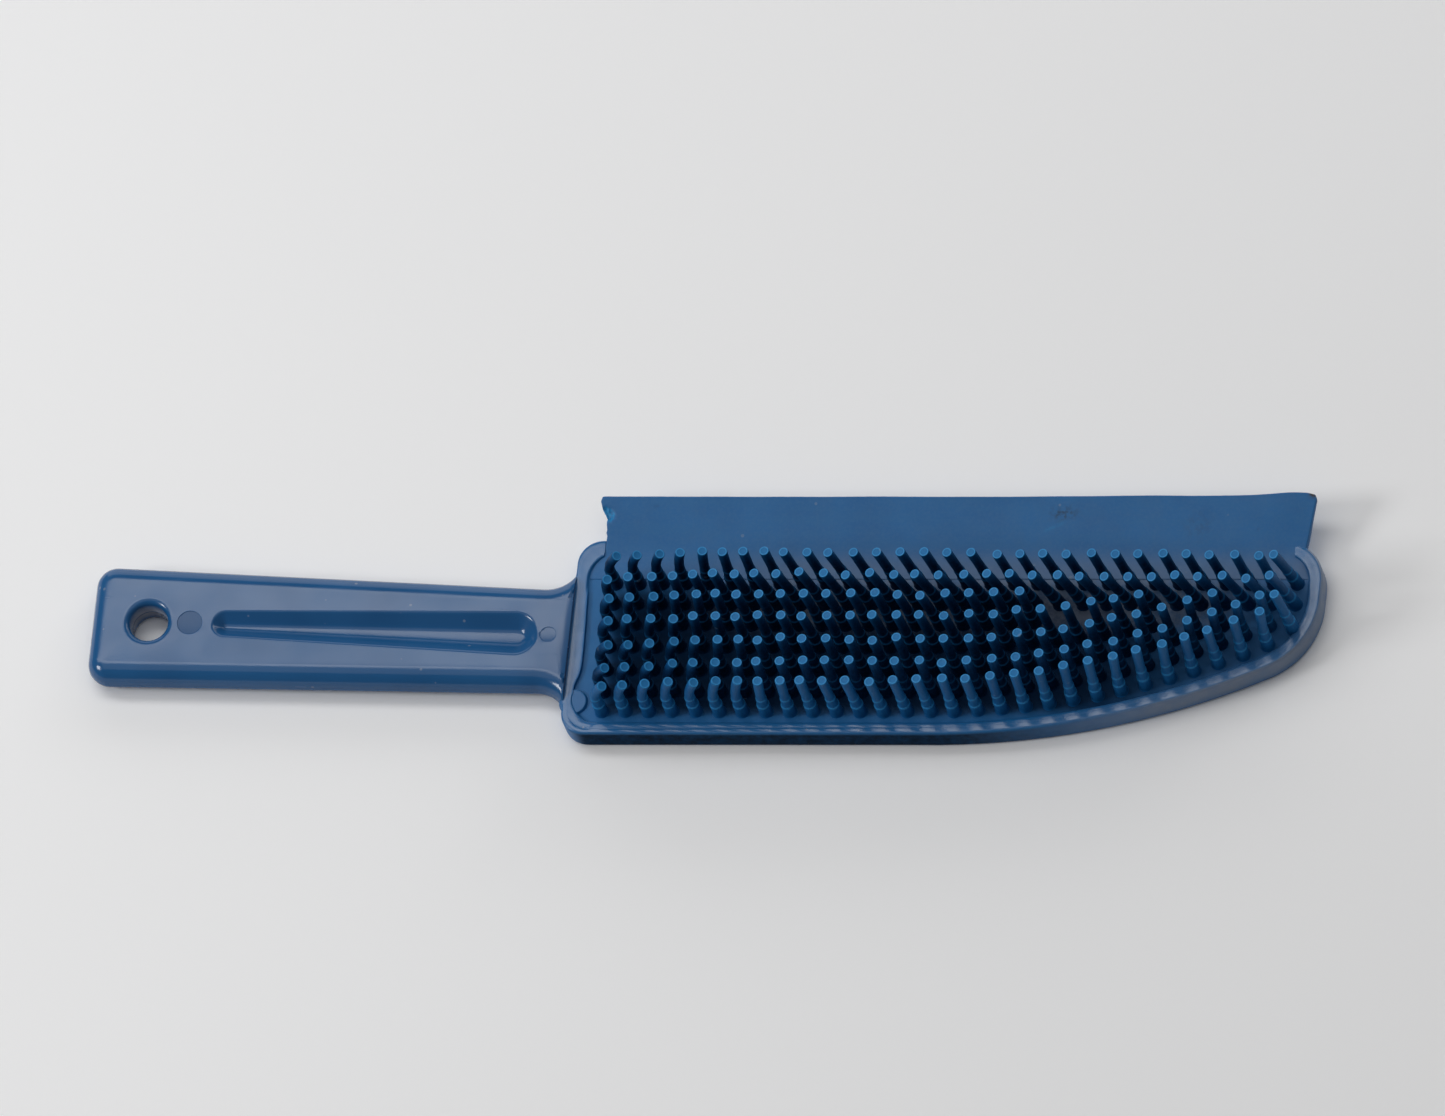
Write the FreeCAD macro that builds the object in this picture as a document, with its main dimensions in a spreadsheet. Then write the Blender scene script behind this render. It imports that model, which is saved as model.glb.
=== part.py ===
"""Hand brush of moulded rubber: a rigid handle with a core plate, and a rubber head moulded over the
plate, with a raised rim, seven rows of pins and a squeegee blade along its straight edge.

Millimetres. +X runs along the brush from the handle's end to the nose, +Y towards the blade, +Z up,
the way the pins point when the brush lies on its back. Sketches start from the corner of the head
that is nearest the handle and farthest from the blade, and each piece's Placement then moves it so
that the origin is below the middle of the whole brush.
"""
import FreeCAD, Part
import math
import os
import re
import Sketcher

DIMENSIONS = {
    # the middle of the whole brush, seen from above, measured from the head's corner
    "centre_along": 34.8,
    "centre_across": 33.37,
    # the head's outline: a straight far edge, a belly that curves up to a round nose
    "head_length": 196.2,
    "head_width": 55.5,
    "head_corner_radius": 6.5,
    "belly_start": 97.0,
    "nose_radius": 22.0,
    "nose_centre_across": 39.0,
    "far_nose_radius": 11.8,
    # the pad, seen from the side
    "pad_height": 7.0,
    "rim_width": 2.9,
    "rim_height": 1.0,
    # the blade: a root let into the pad, a ramp that sweeps up from the floor, and a thin flap
    "blade_seat_depth": 2.0,
    "blade_start": 7.0,
    "blade_root_end": 188.0,
    "ramp_start_across": 45.0,
    "ramp_width": 9.0,
    "blade_tilt": 14.0,
    "blade_reach": 12.8,
    "blade_edge_thickness": 1.3,
    "flap_end_at_wall": 191.6,
    "flap_flare": 1.6,
    # the pins
    "pin_height": 18.5,
    "pin_base_radius": 1.6,
    "pin_tip_radius": 1.33,
    "pin_pitch": 6.17,
    "pin_first_along": 10.65,
    "pin_row_clearance": 5.1,
    # the core plate inside the rubber
    "core_bottom": 1.8,
    "core_thickness": 2.6,
    "core_inset": 5.0,
    "core_neck_width": 30.0,
    "core_clearance": 0.1,
    "lock_hole_radius": 4.0,
    "lock_hole_first": 24.0,
    "lock_hole_pitch": 24.0,
    # the grip, measured along its own axis from the head's edge
    "grip_length": 126.3,
    "grip_thickness": 9.2,
    "grip_axis_across": 27.2,
    "grip_yaw": 2.0,
    "grip_end_width": 32.8,
    "grip_neck_width": 28.7,
    "grip_end_radius": 5.6,
    "grip_edge_radius": 4.4,
    "neck_start": 7.7,
    "neck_radius": 9.0,
    "hang_hole_radius": 5.0,
    "hang_hole_from_end": 15.4,
    "hang_hole_edge_radius": 1.3,
    "flute_from_end": 32.3,
    "flute_length": 86.3,
    "flute_depth": 2.8,
    "flute_narrow_radius": 3.7,
    "flute_wide_radius": 6.1,
    "flute_floor_narrow_radius": 0.45,
    "flute_floor_wide_radius": 1.6,
    "flute_edge_radius": 0.7,
    "ejector_mark_depth": 0.15,
    "end_mark_from_end": 26.5,
    "end_mark_radius": 3.3,
    "neck_mark_from_end": 121.3,
    "neck_mark_radius": 2.2,
}

# Each row of pins, from the blade's side: its distance from the straight near edge, and how closely
# it follows the belly's curve (0 runs straight, 1 keeps its distance from the edge).
PIN_ROWS = {
    "pin_row_1": (43.4, 0.0),
    "pin_row_2": (37.5, 0.0),
    "pin_row_3": (31.6, 0.5),
    "pin_row_4": (25.2, 0.78),
    "pin_row_5": (18.6, 0.92),
    "pin_row_6": (12.4, 1.0),
    "pin_row_7": (6.9, 1.0),
}
PINS_IN_FULL_ROW = 30
LOCK_HOLES = 6

ORIGIN = (-1, 1)  # a sketch's own origin, as a constraint names it
START, END, CENTRE = 1, 2, 3

doc = FreeCAD.newDocument("hand_brush")
sheet = doc.addObject("Spreadsheet::Sheet", "dims")


def fill_sheet():
    """One row of the sheet for each driving dimension: its name, and its value with that alias."""
    cells = dict(DIMENSIONS)
    for row, (across, follow) in PIN_ROWS.items():
        cells[row + "_across"] = across
        cells[row + "_follow"] = follow
    for line_number, (alias, number) in enumerate(cells.items(), start=1):
        sheet.set("A%d" % line_number, alias)
        sheet.set("B%d" % line_number, str(number))
        sheet.setAlias("B%d" % line_number, alias)
    doc.recompute()


def bound(expression):
    """An expression with the name of every driving dimension written as a reference to its cell."""
    return re.sub(r"[a-z]\w+", lambda m: reference(m.group(0)), expression)


def reference(word):
    return "dims." + word if hasattr(sheet, word) else word


def value(expression):
    """What an expression of driving dimensions comes to."""
    return float(sheet.evalExpression(bound(expression)))


# ---- sketches ------------------------------------------------------------------------------------


def plane(body, role):
    """One of a body's own origin planes."""
    return [p for p in body.Origin.OriginFeatures if p.Role == role][0]


def new_body(name):
    body = doc.addObject("PartDesign::Body", name)
    body.Label = name
    return body


def new_sketch(body, name, role="XY_Plane", height="0"):
    """A sketch on one of a body's origin planes, lifted along the plane's normal."""
    sketch = body.newObject("Sketcher::SketchObject", name)
    sketch.AttachmentSupport = [(plane(body, role), "")]
    sketch.MapMode = "FlatFace"
    sketch.setExpression("AttachmentOffset.Base.z", bound(height))
    return sketch


def grip_sketch(body, name, height="0"):
    """A sketch along the grip's own axis, which is yawed a little towards the blade's side."""
    sketch = new_sketch(body, name, height=height)
    sketch.AttachmentOffset = FreeCAD.Placement(
        FreeCAD.Vector(0, value("grip_axis_across"), value(height)),
        FreeCAD.Rotation(FreeCAD.Vector(0, 0, 1), -value("grip_yaw")),
    )
    sketch.setExpression("AttachmentOffset.Base.y", bound("grip_axis_across"))
    sketch.setExpression("AttachmentOffset.Rotation.Angle", bound("-grip_yaw"))
    return sketch


def limit(sketch, expression, *constraint):
    """A dimension of a sketch, bound to the sheet."""
    index = sketch.addConstraint(Sketcher.Constraint(*constraint))
    sketch.setExpression("Constraints[%d]" % index, bound(expression))


def at_x(sketch, expression, index, point):
    limit(sketch, expression, "DistanceX", *ORIGIN, index, point, value(expression))


def at_y(sketch, expression, index, point):
    limit(sketch, expression, "DistanceY", *ORIGIN, index, point, value(expression))


def radius(sketch, expression, index):
    limit(sketch, expression, "Radius", index, value(expression))


def line(sketch, start, end):
    ends = [FreeCAD.Vector(*start, 0), FreeCAD.Vector(*end, 0)]
    return sketch.addGeometry(Part.LineSegment(*ends))


def arc(sketch, centre, arc_radius, start, end):
    """An arc drawn counter-clockwise between two angles in degrees."""
    whole = Part.Circle(FreeCAD.Vector(*centre, 0), FreeCAD.Vector(0, 0, 1), arc_radius)
    return sketch.addGeometry(Part.ArcOfCircle(whole, math.radians(start), math.radians(end)))


def smooth(sketch, first, first_point, second, second_point):
    """Two ends that meet and run on in the same direction."""
    ends = (first, first_point, second, second_point)
    sketch.addConstraint(Sketcher.Constraint("Tangent", *ends))


def meet(sketch, first, first_point, second, second_point):
    ends = (first, first_point, second, second_point)
    sketch.addConstraint(Sketcher.Constraint("Coincident", *ends))


def circle(sketch, along, across, size):
    """A circle with its centre and radius bound to the sheet."""
    middle = FreeCAD.Vector(value(along), value(across), 0)
    index = sketch.addGeometry(Part.Circle(middle, FreeCAD.Vector(0, 0, 1), value(size)))
    radius(sketch, size, index)
    at_x(sketch, along, index, CENTRE)
    if across == "0":
        sketch.addConstraint(Sketcher.Constraint("PointOnObject", index, CENTRE, -1))
    else:
        at_y(sketch, across, index, CENTRE)


def polygon(sketch, corners):
    """A closed run of straight lines through corners, each given as two expressions."""
    points = [(value(x), value(y)) for x, y in corners]
    lines = [line(sketch, a, b) for a, b in zip(points, points[1:] + points[:1])]
    for this, following in zip(lines, lines[1:] + lines[:1]):
        meet(sketch, this, END, following, START)
    for index, (x, y) in zip(lines, corners):
        at_x(sketch, x, index, START)
        at_y(sketch, y, index, START)


def slot(sketch, left, left_radius, right, right_radius):
    """A tapered slot along the sketch's X axis: a round end at each side, joined by two lines."""
    x1, r1, x2, r2 = value(left), value(left_radius), value(right), value(right_radius)
    lean = math.degrees(math.asin((r2 - r1) / (x2 - x1)))
    near, far = 270 + lean, 90 - lean

    def on(x, r, angle):
        return (x + r * math.cos(math.radians(angle)), r * math.sin(math.radians(angle)))

    left_end = arc(sketch, (x1, 0), r1, far, near)
    near_side = line(sketch, on(x1, r1, near), on(x2, r2, near))
    right_end = arc(sketch, (x2, 0), r2, near, far + 360)
    far_side = line(sketch, on(x2, r2, far), on(x1, r1, far))
    smooth(sketch, left_end, END, near_side, START)
    smooth(sketch, near_side, END, right_end, START)
    smooth(sketch, right_end, END, far_side, START)
    smooth(sketch, far_side, END, left_end, START)
    for index, x, r in ((left_end, left, left_radius), (right_end, right, right_radius)):
        radius(sketch, r, index)
        at_x(sketch, x, index, CENTRE)
        sketch.addConstraint(Sketcher.Constraint("PointOnObject", index, CENTRE, -1))


def belly_radius():
    """The belly's arc starts along the straight near edge and runs smoothly into the nose's arc."""
    run = value("head_length - nose_radius - belly_start")
    rise, small = value("nose_centre_across"), value("nose_radius")
    return (rise**2 + run**2 - small**2) / (2 * (rise - small))


def head_outline(sketch, inset):
    """The head's outline, moved inwards by a distance: four round corners and the long belly."""
    gap = value(inset)
    length, width = value("head_length"), value("head_width")
    corner, belly, nose = value("head_corner_radius"), belly_radius(), value("nose_radius")
    far_nose = value("far_nose_radius")
    start = value("belly_start")
    nose_middle = (length - nose, value("nose_centre_across"))
    join = math.degrees(math.atan2(nose_middle[1] - belly, nose_middle[0] - start)) + 360
    near_edge = line(sketch, (corner, gap), (start, gap))
    belly_arc = arc(sketch, (start, belly), belly - gap, 270, join)
    nose_arc = arc(sketch, nose_middle, nose - gap, join, 360)
    nose_edge = line(sketch, (length - gap, nose_middle[1]), (length - gap, width - far_nose))
    far_nose_arc = arc(sketch, (length - far_nose, width - far_nose), far_nose - gap, 0, 90)
    far_edge = line(sketch, (length - far_nose, width - gap), (corner, width - gap))
    far_corner = arc(sketch, (corner, width - corner), corner - gap, 90, 180)
    left_edge = line(sketch, (gap, width - corner), (gap, corner))
    near_corner = arc(sketch, (corner, corner), corner - gap, 180, 270)
    ring = (
        near_edge,
        belly_arc,
        nose_arc,
        nose_edge,
        far_nose_arc,
        far_edge,
        far_corner,
        left_edge,
        near_corner,
    )
    for this, following in zip(ring, ring[1:] + ring[:1]):
        smooth(sketch, this, END, following, START)
    for level in (near_edge, far_edge):
        sketch.addConstraint(Sketcher.Constraint("Horizontal", level))
    for upright in (nose_edge, left_edge):
        sketch.addConstraint(Sketcher.Constraint("Vertical", upright))
    radius(sketch, "head_corner_radius - " + inset, near_corner)
    radius(sketch, "head_corner_radius - " + inset, far_corner)
    radius(sketch, "nose_radius - " + inset, nose_arc)
    radius(sketch, "far_nose_radius - " + inset, far_nose_arc)
    at_x(sketch, inset, left_edge, START)
    at_x(sketch, "belly_start", near_edge, END)
    at_x(sketch, "head_length - " + inset, nose_edge, START)
    at_y(sketch, inset, near_edge, START)
    at_y(sketch, "nose_centre_across", nose_arc, CENTRE)
    at_y(sketch, "head_width - " + inset, far_edge, START)


# ---- features ------------------------------------------------------------------------------------


def pad(body, sketch, name, length):
    feature = body.newObject("PartDesign::Pad", name)
    feature.Profile = sketch
    feature.setExpression("Length", bound(length))
    doc.recompute()
    return feature


def pocket(body, sketch, name, length=None, upwards=False):
    """A pocket of a bound depth, or through everything on both sides of its sketch."""
    before = body.Tip.Shape.Volume
    feature = body.newObject("PartDesign::Pocket", name)
    feature.Profile = sketch
    feature.Reversed = upwards
    if length is None:
        feature.Type = "ThroughAll"
        feature.Midplane = True
    else:
        feature.setExpression("Length", bound(length))
    doc.recompute()
    if not feature.Shape.Volume < before:
        raise RuntimeError(name + " cuts nothing")
    return feature


def fillet(body, name, size, chosen):
    """Rounds the edges of a body's last feature that a test chooses."""
    base = body.Tip
    edges = ["Edge%d" % i for i, edge in enumerate(base.Shape.Edges, start=1) if chosen(edge)]
    feature = body.newObject("PartDesign::Fillet", name)
    feature.Base = (base, edges)
    feature.setExpression("Radius", bound(size))
    doc.recompute()


def flat_at(edge, height):
    """Whether an edge lies in the level plane at a height."""
    box = edge.BoundBox
    return abs(box.ZMin - height) < 0.01 and abs(box.ZMax - height) < 0.01


def place(piece):
    """Moves a piece from the head's corner to the brush's own origin."""
    piece.setExpression("Placement.Base.x", bound("-centre_along"))
    piece.setExpression("Placement.Base.y", bound("-centre_across"))


# ---- the handle ----------------------------------------------------------------------------------


def grip_outline(sketch):
    """The grip from above: straight sides that taper to the neck, then flare to meet the head."""
    length, corner = value("grip_length"), value("grip_end_radius")
    half_end, half_neck = value("grip_end_width / 2"), value("grip_neck_width / 2")
    neck, flare = value("neck_start"), value("neck_radius")
    taper = math.degrees(math.atan2(half_end - half_neck, length - neck - corner))
    open_angle = math.degrees(math.asin(neck / flare))
    half_mouth = half_neck + flare - math.sqrt(flare**2 - neck**2)

    end_edge = line(sketch, (-length, half_end - corner), (-length, corner - half_end))
    near_corner = arc(sketch, (corner - length, corner - half_end), corner, 180, 270 + taper)
    near_side = line(sketch, (corner - length, -half_end), (-neck, -half_neck))
    near_flare = arc(sketch, (-neck, -half_neck - flare), flare, 90 - open_angle, 90 + taper)
    mouth = line(sketch, (0, -half_mouth), (0, half_mouth))
    far_flare = arc(sketch, (-neck, half_neck + flare), flare, 270 - taper, 270 + open_angle)
    far_side = line(sketch, (-neck, half_neck), (corner - length, half_end))
    far_corner = arc(sketch, (corner - length, half_end - corner), corner, 90 - taper, 180)

    smooth(sketch, end_edge, END, near_corner, START)
    smooth(sketch, near_corner, END, near_side, START)
    smooth(sketch, near_side, END, near_flare, END)
    meet(sketch, near_flare, START, mouth, START)
    meet(sketch, mouth, END, far_flare, END)
    smooth(sketch, far_flare, START, far_side, START)
    smooth(sketch, far_side, END, far_corner, START)
    smooth(sketch, far_corner, END, end_edge, START)
    for corner_arc in (near_corner, far_corner):
        radius(sketch, "grip_end_radius", corner_arc)
    for flare_arc in (near_flare, far_flare):
        radius(sketch, "neck_radius", flare_arc)
    sketch.addConstraint(Sketcher.Constraint("Vertical", end_edge))
    at_x(sketch, "-grip_length", end_edge, START)
    at_x(sketch, "-neck_start", near_side, END)
    at_y(sketch, "-grip_neck_width / 2", near_side, END)
    at_y(sketch, "-grip_end_width / 2", near_side, START)
    at_x(sketch, "-neck_start", far_side, START)
    at_y(sketch, "grip_neck_width / 2", far_side, START)
    at_y(sketch, "grip_end_width / 2", far_side, END)
    # the mouth lies along the head's edge, so it turns back by the grip's yaw
    sketch.addConstraint(Sketcher.Constraint("PointOnObject", *ORIGIN, mouth))
    turned = math.radians(90 + value("grip_yaw"))
    limit(sketch, "(90 + grip_yaw) * 1 deg", "Angle", mouth, turned)


def core_plate(body):
    """The flat plate inside the rubber, with holes that the rubber fills and so locks it in."""
    plate = new_sketch(body, "core_outline", height="core_bottom")
    head_outline(plate, "core_inset")
    for k in range(LOCK_HOLES):
        along = "lock_hole_first + %d * lock_hole_pitch" % k
        circle(plate, along, "grip_axis_across", "lock_hole_radius + core_clearance")
    pad(body, plate, "core", "core_thickness")
    neck = new_sketch(body, "core_neck_outline", height="core_bottom")
    polygon(neck, core_neck("0"))
    pad(body, neck, "core_neck", "core_thickness")


def core_neck(clearance):
    """The strip that joins the grip's neck to the core plate."""
    near = "grip_axis_across - core_neck_width / 2 - " + clearance
    far = "grip_axis_across + core_neck_width / 2 + " + clearance
    left, right = "-neck_start / 4", "core_inset + head_corner_radius"
    return [(left, near), (right, near), (right, far), (left, far)]


def hang_hole(body):
    sketch = grip_sketch(body, "hang_hole_outline")
    circle(sketch, "hang_hole_from_end - grip_length", "0", "hang_hole_radius")
    pocket(body, sketch, "hang_hole")
    rim = value("hang_hole_radius")

    def round_rim(edge):
        curve = edge.Curve
        return isinstance(curve, Part.Circle) and abs(curve.Radius - rim) < 0.01

    fillet(body, "hang_hole_edges", "hang_hole_edge_radius", round_rim)


def flute(body):
    """The tapered groove along the grip's back, with sloping sides and a narrow floor."""
    left = "flute_from_end - grip_length + flute_narrow_radius"
    right = "flute_from_end + flute_length - grip_length - flute_wide_radius"
    mouth = grip_sketch(body, "flute_mouth", "grip_thickness")
    slot(mouth, left, "flute_narrow_radius", right, "flute_wide_radius")
    floor = grip_sketch(body, "flute_floor", "grip_thickness - flute_depth")
    slot(floor, left, "flute_floor_narrow_radius", right, "flute_floor_wide_radius")
    before = body.Tip.Shape.Volume
    groove = body.newObject("PartDesign::SubtractiveLoft", "flute")
    groove.Profile = mouth
    groove.Sections = [floor]
    doc.recompute()
    if not groove.Shape.Volume < before:
        raise RuntimeError("the flute cuts nothing")

    def mouth_edge(edge):
        middle = edge.valueAt((edge.FirstParameter + edge.LastParameter) / 2)
        return mouth.Shape.distToShape(Part.Vertex(middle))[0] < 0.01

    fillet(body, "flute_edges", "flute_edge_radius", mouth_edge)


def ejector_mark(body, name, from_end, size):
    """A shallow disc pressed into the moulding by an ejector pin."""
    sketch = grip_sketch(body, name + "_outline", "grip_thickness")
    circle(sketch, from_end + " - grip_length", "0", size)
    pocket(body, sketch, name, "ejector_mark_depth")


def make_handle():
    body = new_body("handle")
    outline = grip_sketch(body, "grip_outline")
    grip_outline(outline)
    pad(body, outline, "grip", "grip_thickness")
    levels = (0, value("grip_thickness"))

    def rim_of_grip(edge):
        on_mouth = edge.BoundBox.XMin > -0.5
        return not on_mouth and any(flat_at(edge, level) for level in levels)

    fillet(body, "grip_edges", "grip_edge_radius", rim_of_grip)
    core_plate(body)
    hang_hole(body)
    flute(body)
    ejector_mark(body, "end_mark", "end_mark_from_end", "end_mark_radius")
    ejector_mark(body, "neck_mark", "neck_mark_from_end", "neck_mark_radius")
    place(body)
    return body


# ---- the rubber ----------------------------------------------------------------------------------


def make_rubber_head():
    """The pad with its raised rim, a seat for the blade's root and a cavity around the core."""
    body = new_body("rubber_head")
    outline = new_sketch(body, "head_outline")
    head_outline(outline, "0")
    pad(body, outline, "block", "pad_height")
    inside = new_sketch(body, "rim_inside", height="pad_height")
    head_outline(inside, "rim_width")
    pocket(body, inside, "floor", "rim_height")
    seat = new_sketch(body, "blade_seat_outline", height="pad_height")
    near, far = "ramp_start_across", "head_width + rim_width"
    left, right = "blade_start", "blade_root_end"
    polygon(seat, [(left, near), (right, near), (right, far), (left, far)])
    pocket(body, seat, "blade_seat", "blade_seat_depth")
    hollow = new_sketch(body, "core_space", height="core_bottom - core_clearance")
    head_outline(hollow, "(core_inset - core_clearance)")
    for k in range(LOCK_HOLES):
        along = "lock_hole_first + %d * lock_hole_pitch" % k
        circle(hollow, along, "grip_axis_across", "lock_hole_radius")
    deep = "core_thickness + 2 * core_clearance"
    pocket(body, hollow, "core_pocket", deep, upwards=True)
    mouth = new_sketch(body, "core_neck_space", height="core_bottom - core_clearance")
    polygon(mouth, core_neck("core_clearance"))
    pocket(body, mouth, "core_mouth", deep, upwards=True)
    place(body)
    return body


def blade_section(sketch):
    """The blade's section, across the head: root, ramp and flap. The sketch's X runs across."""
    ramp_radius = "(ramp_width / sin(blade_tilt * 1 deg))"
    floor = "(pad_height - rim_height)"
    seat = "(pad_height - blade_seat_depth)"
    ramp_end = ("ramp_start_across + ramp_width",
                floor + " + %s * (1 - cos(blade_tilt * 1 deg))" % ramp_radius)
    tip = (ramp_end[0] + " + blade_reach * cos(blade_tilt * 1 deg)",
           ramp_end[1] + " + blade_reach * sin(blade_tilt * 1 deg)")
    heel = (tip[0] + " + blade_edge_thickness * sin(blade_tilt * 1 deg)",
            tip[1] + " - blade_edge_thickness * cos(blade_tilt * 1 deg)")
    corners = [("ramp_start_across", floor), ("ramp_start_across", seat), ("head_width", seat),
               heel, tip, ramp_end]
    points = [(value(x), value(y)) for x, y in corners]
    lines = [line(sketch, a, b) for a, b in zip(points, points[1:])]
    for index, following in zip(lines, lines[1:]):
        meet(sketch, index, END, following, START)
    middle = (points[0][0], points[0][1] + value(ramp_radius))
    ramp = arc(sketch, middle, value(ramp_radius), 270, 270 + value("blade_tilt"))
    meet(sketch, lines[0], START, ramp, START)
    meet(sketch, lines[-1], END, ramp, END)
    radius(sketch, ramp_radius, ramp)
    for index, (x, y) in zip(lines, corners):
        at_x(sketch, x, index, START)
        at_y(sketch, y, index, START)
    at_x(sketch, corners[-1][0], lines[-1], END)
    at_y(sketch, corners[-1][1], lines[-1], END)


def make_blade():
    body = new_body("squeegee_blade")
    section = new_sketch(body, "blade_section", "YZ_Plane", "blade_start - flap_flare")
    blade_section(section)
    pad(body, section, "blade", "flap_end_at_wall + 2 * flap_flare - blade_start")
    # both ends are square at the root and flare a little towards the free edge
    ends = new_sketch(body, "blade_ends")
    near, wall = "ramp_start_across - rim_width", "head_width"
    edge = "(ramp_start_across + ramp_width + blade_reach)"
    left, right = "(blade_start - 2 * flap_flare)", "(flap_end_at_wall + 2 * flap_flare)"
    polygon(ends, [("blade_start", near), ("blade_start", wall),
                   ("blade_start - flap_flare", edge), (left, edge), (left, near)])
    polygon(ends, [("blade_root_end", near), (right, near), (right, edge),
                   ("flap_end_at_wall + flap_flare", edge), ("flap_end_at_wall", wall),
                   ("blade_root_end", wall)])
    pocket(body, ends, "blade_end_cuts")
    place(body)
    return body


def pin_across(row, along):
    """How far a pin stands from the near edge: its row's distance plus its share of the belly."""
    run = "max(0; %s - belly_start)" % along
    rise = "(%f - sqrt(%f ^ 2 - %s ^ 2))" % (belly_radius(), belly_radius(), run)
    return "%s_across + %s_follow * %s" % (row, row, rise)


def make_pin_row(row):
    """One row of tapered pins. A row that the belly pushes up to the second row ends there."""
    pins = []
    for k in range(PINS_IN_FULL_ROW):
        along = "(pin_first_along + %d * pin_pitch)" % k
        across = pin_across(row, along)
        follows = value(row + "_follow") > 0
        outermost = row == list(PIN_ROWS)[-1]
        crowded = value("pin_row_2_across - (%s)" % across) < value("pin_row_clearance")
        if follows and crowded and not outermost:
            break
        pin = doc.addObject("Part::Cone", "%s_pin_%d" % (row, k + 1))
        pin.setExpression("Radius1", bound("pin_base_radius"))
        pin.setExpression("Radius2", bound("pin_tip_radius"))
        pin.setExpression("Height", bound("pin_height"))
        pin.setExpression("Placement.Base.x", bound(along))
        pin.setExpression("Placement.Base.y", bound(across))
        pin.setExpression("Placement.Base.z", bound("pad_height - rim_height"))
        pins.append(pin)
    group = doc.addObject("Part::Compound", row)
    group.Label = row
    group.Links = pins
    place(group)
    return group


def check(pieces):
    """Stops if any object failed, or a piece's shape is empty or invalid."""
    failed = [o.Name for o in doc.Objects if {"Invalid", "Error"} & set(o.State)]
    failed += [p.Label for p in pieces if p.Shape.isNull() or not p.Shape.isValid()]
    if failed:
        raise RuntimeError("failed: " + ", ".join(failed))


def main():
    fill_sheet()
    pieces = [make_handle(), make_rubber_head(), make_blade()]
    pieces += [make_pin_row(row) for row in PIN_ROWS]
    doc.recompute()
    check(pieces)
    os.makedirs("parts", exist_ok=True)
    for piece in pieces:
        piece.Shape.exportStep("parts/%s.step" % piece.Label)
        print(piece.Label, len(piece.Shape.Solids), round(piece.Shape.Volume), piece.Shape.BoundBox)


main()
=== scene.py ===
import math
import random
from collections import namedtuple

import bmesh
import bpy
from mathutils import Matrix, Vector, geometry, noise


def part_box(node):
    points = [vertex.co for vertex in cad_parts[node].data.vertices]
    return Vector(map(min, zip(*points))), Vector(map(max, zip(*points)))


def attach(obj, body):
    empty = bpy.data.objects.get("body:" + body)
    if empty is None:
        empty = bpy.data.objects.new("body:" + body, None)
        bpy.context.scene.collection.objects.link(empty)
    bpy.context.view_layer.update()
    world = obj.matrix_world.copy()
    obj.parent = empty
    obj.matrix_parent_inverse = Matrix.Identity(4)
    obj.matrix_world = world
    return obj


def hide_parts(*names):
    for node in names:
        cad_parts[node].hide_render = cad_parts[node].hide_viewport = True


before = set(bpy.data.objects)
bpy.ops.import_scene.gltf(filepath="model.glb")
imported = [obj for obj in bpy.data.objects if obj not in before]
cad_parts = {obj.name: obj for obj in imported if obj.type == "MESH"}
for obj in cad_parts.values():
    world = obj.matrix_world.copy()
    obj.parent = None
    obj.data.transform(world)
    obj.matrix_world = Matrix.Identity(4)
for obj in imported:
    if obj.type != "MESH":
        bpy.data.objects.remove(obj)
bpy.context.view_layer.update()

# Lengths are in millimetres from the head's near left corner, as in the part: X along the brush
# towards the nose, Y across it towards the blade, Z up. to_row() turns them into the row frame.
MM = 0.001
HEAD_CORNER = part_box("rubber_head")[0]
SEED = 20

HEAD_LENGTH = 196.2
HEAD_WIDTH = 55.5
CORNER_RADIUS = 6.5
BELLY_START = 97.0
NOSE_RADIUS = 22.0
NOSE_ACROSS = 39.0
FAR_NOSE_RADIUS = 11.8
NEAR_RIM_WIDTH = 3.3
NOSE_RIM_WIDTH = 3.4
LAND_LEVEL = 7.0
FLOOR_LEVEL = 6.0
CREASE_DEPTH = 0.45
BOSS_CENTRE = (2.95, 9.4)
BOSS_RADIUS = 3.45

RAMP_START = 45.0
RAMP_WIDTH = 9.0
BLADE_TILT = math.radians(14.0)
BLADE_REACH = 12.8
BLADE_SEAT = 5.0
BLADE_EDGE_THICKNESS = 1.3
BLADE_SPAN = 186.0
BLADE_END_REACH = 8.0
BLADE_END_RADIUS = 0.35
CHIP_CENTRE = (6.3, 61.6)

PIN_HEIGHT = 18.5
PIN_PITCH = 6.17
PIN_FIRST = 10.65

GRIP_LENGTH = 126.4
GRIP_THICKNESS = 9.2
GRIP_ACROSS = 27.2
GRIP_YAW = math.radians(2.0)
GRIP_HALF_END = 16.4
GRIP_HALF_NECK = 14.35
GRIP_CORNER = 5.6
GRIP_EDGE = 4.4
NECK_START = 7.7
NECK_RADIUS = 9.0
MOUTH_OVERLAP = 0.4
GRIP_CROWN = 0.11
HOLE_FROM_END = 15.4
HOLE_RADIUS = 5.05
HOLE_ROUNDING = 1.6
FLUTE_FROM_END = 32.3
FLUTE_LENGTH = 86.3
# Pairs: at the flute's end away from the head, and at its end by the head.
FLUTE_RADII = (3.7, 6.1)
FLUTE_FLOOR_RADII = (0.62, 1.95)
FLUTE_DEPTHS = (2.35, 3.15)
# Each ejector mark's distance from the grip's end, radius and wear.
EJECTOR_MARKS = [(26.5, 3.3, 0.8), (121.4, 2.1, 0.2)]


def to_row(x, y, z):
    return Vector((HEAD_CORNER.x + x * MM, HEAD_CORNER.y + y * MM, z * MM))


def mix(a, b, t):
    return a + (b - a) * t


def mix2(a, b, t):
    return (mix(a[0], b[0], t), mix(a[1], b[1], t))


def ease(low, high, x):
    """0 below low, 1 above high, and a smooth step between them."""
    t = min(1.0, max(0.0, (x - low) / (high - low)))
    return t * t * (3 - 2 * t)


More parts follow.
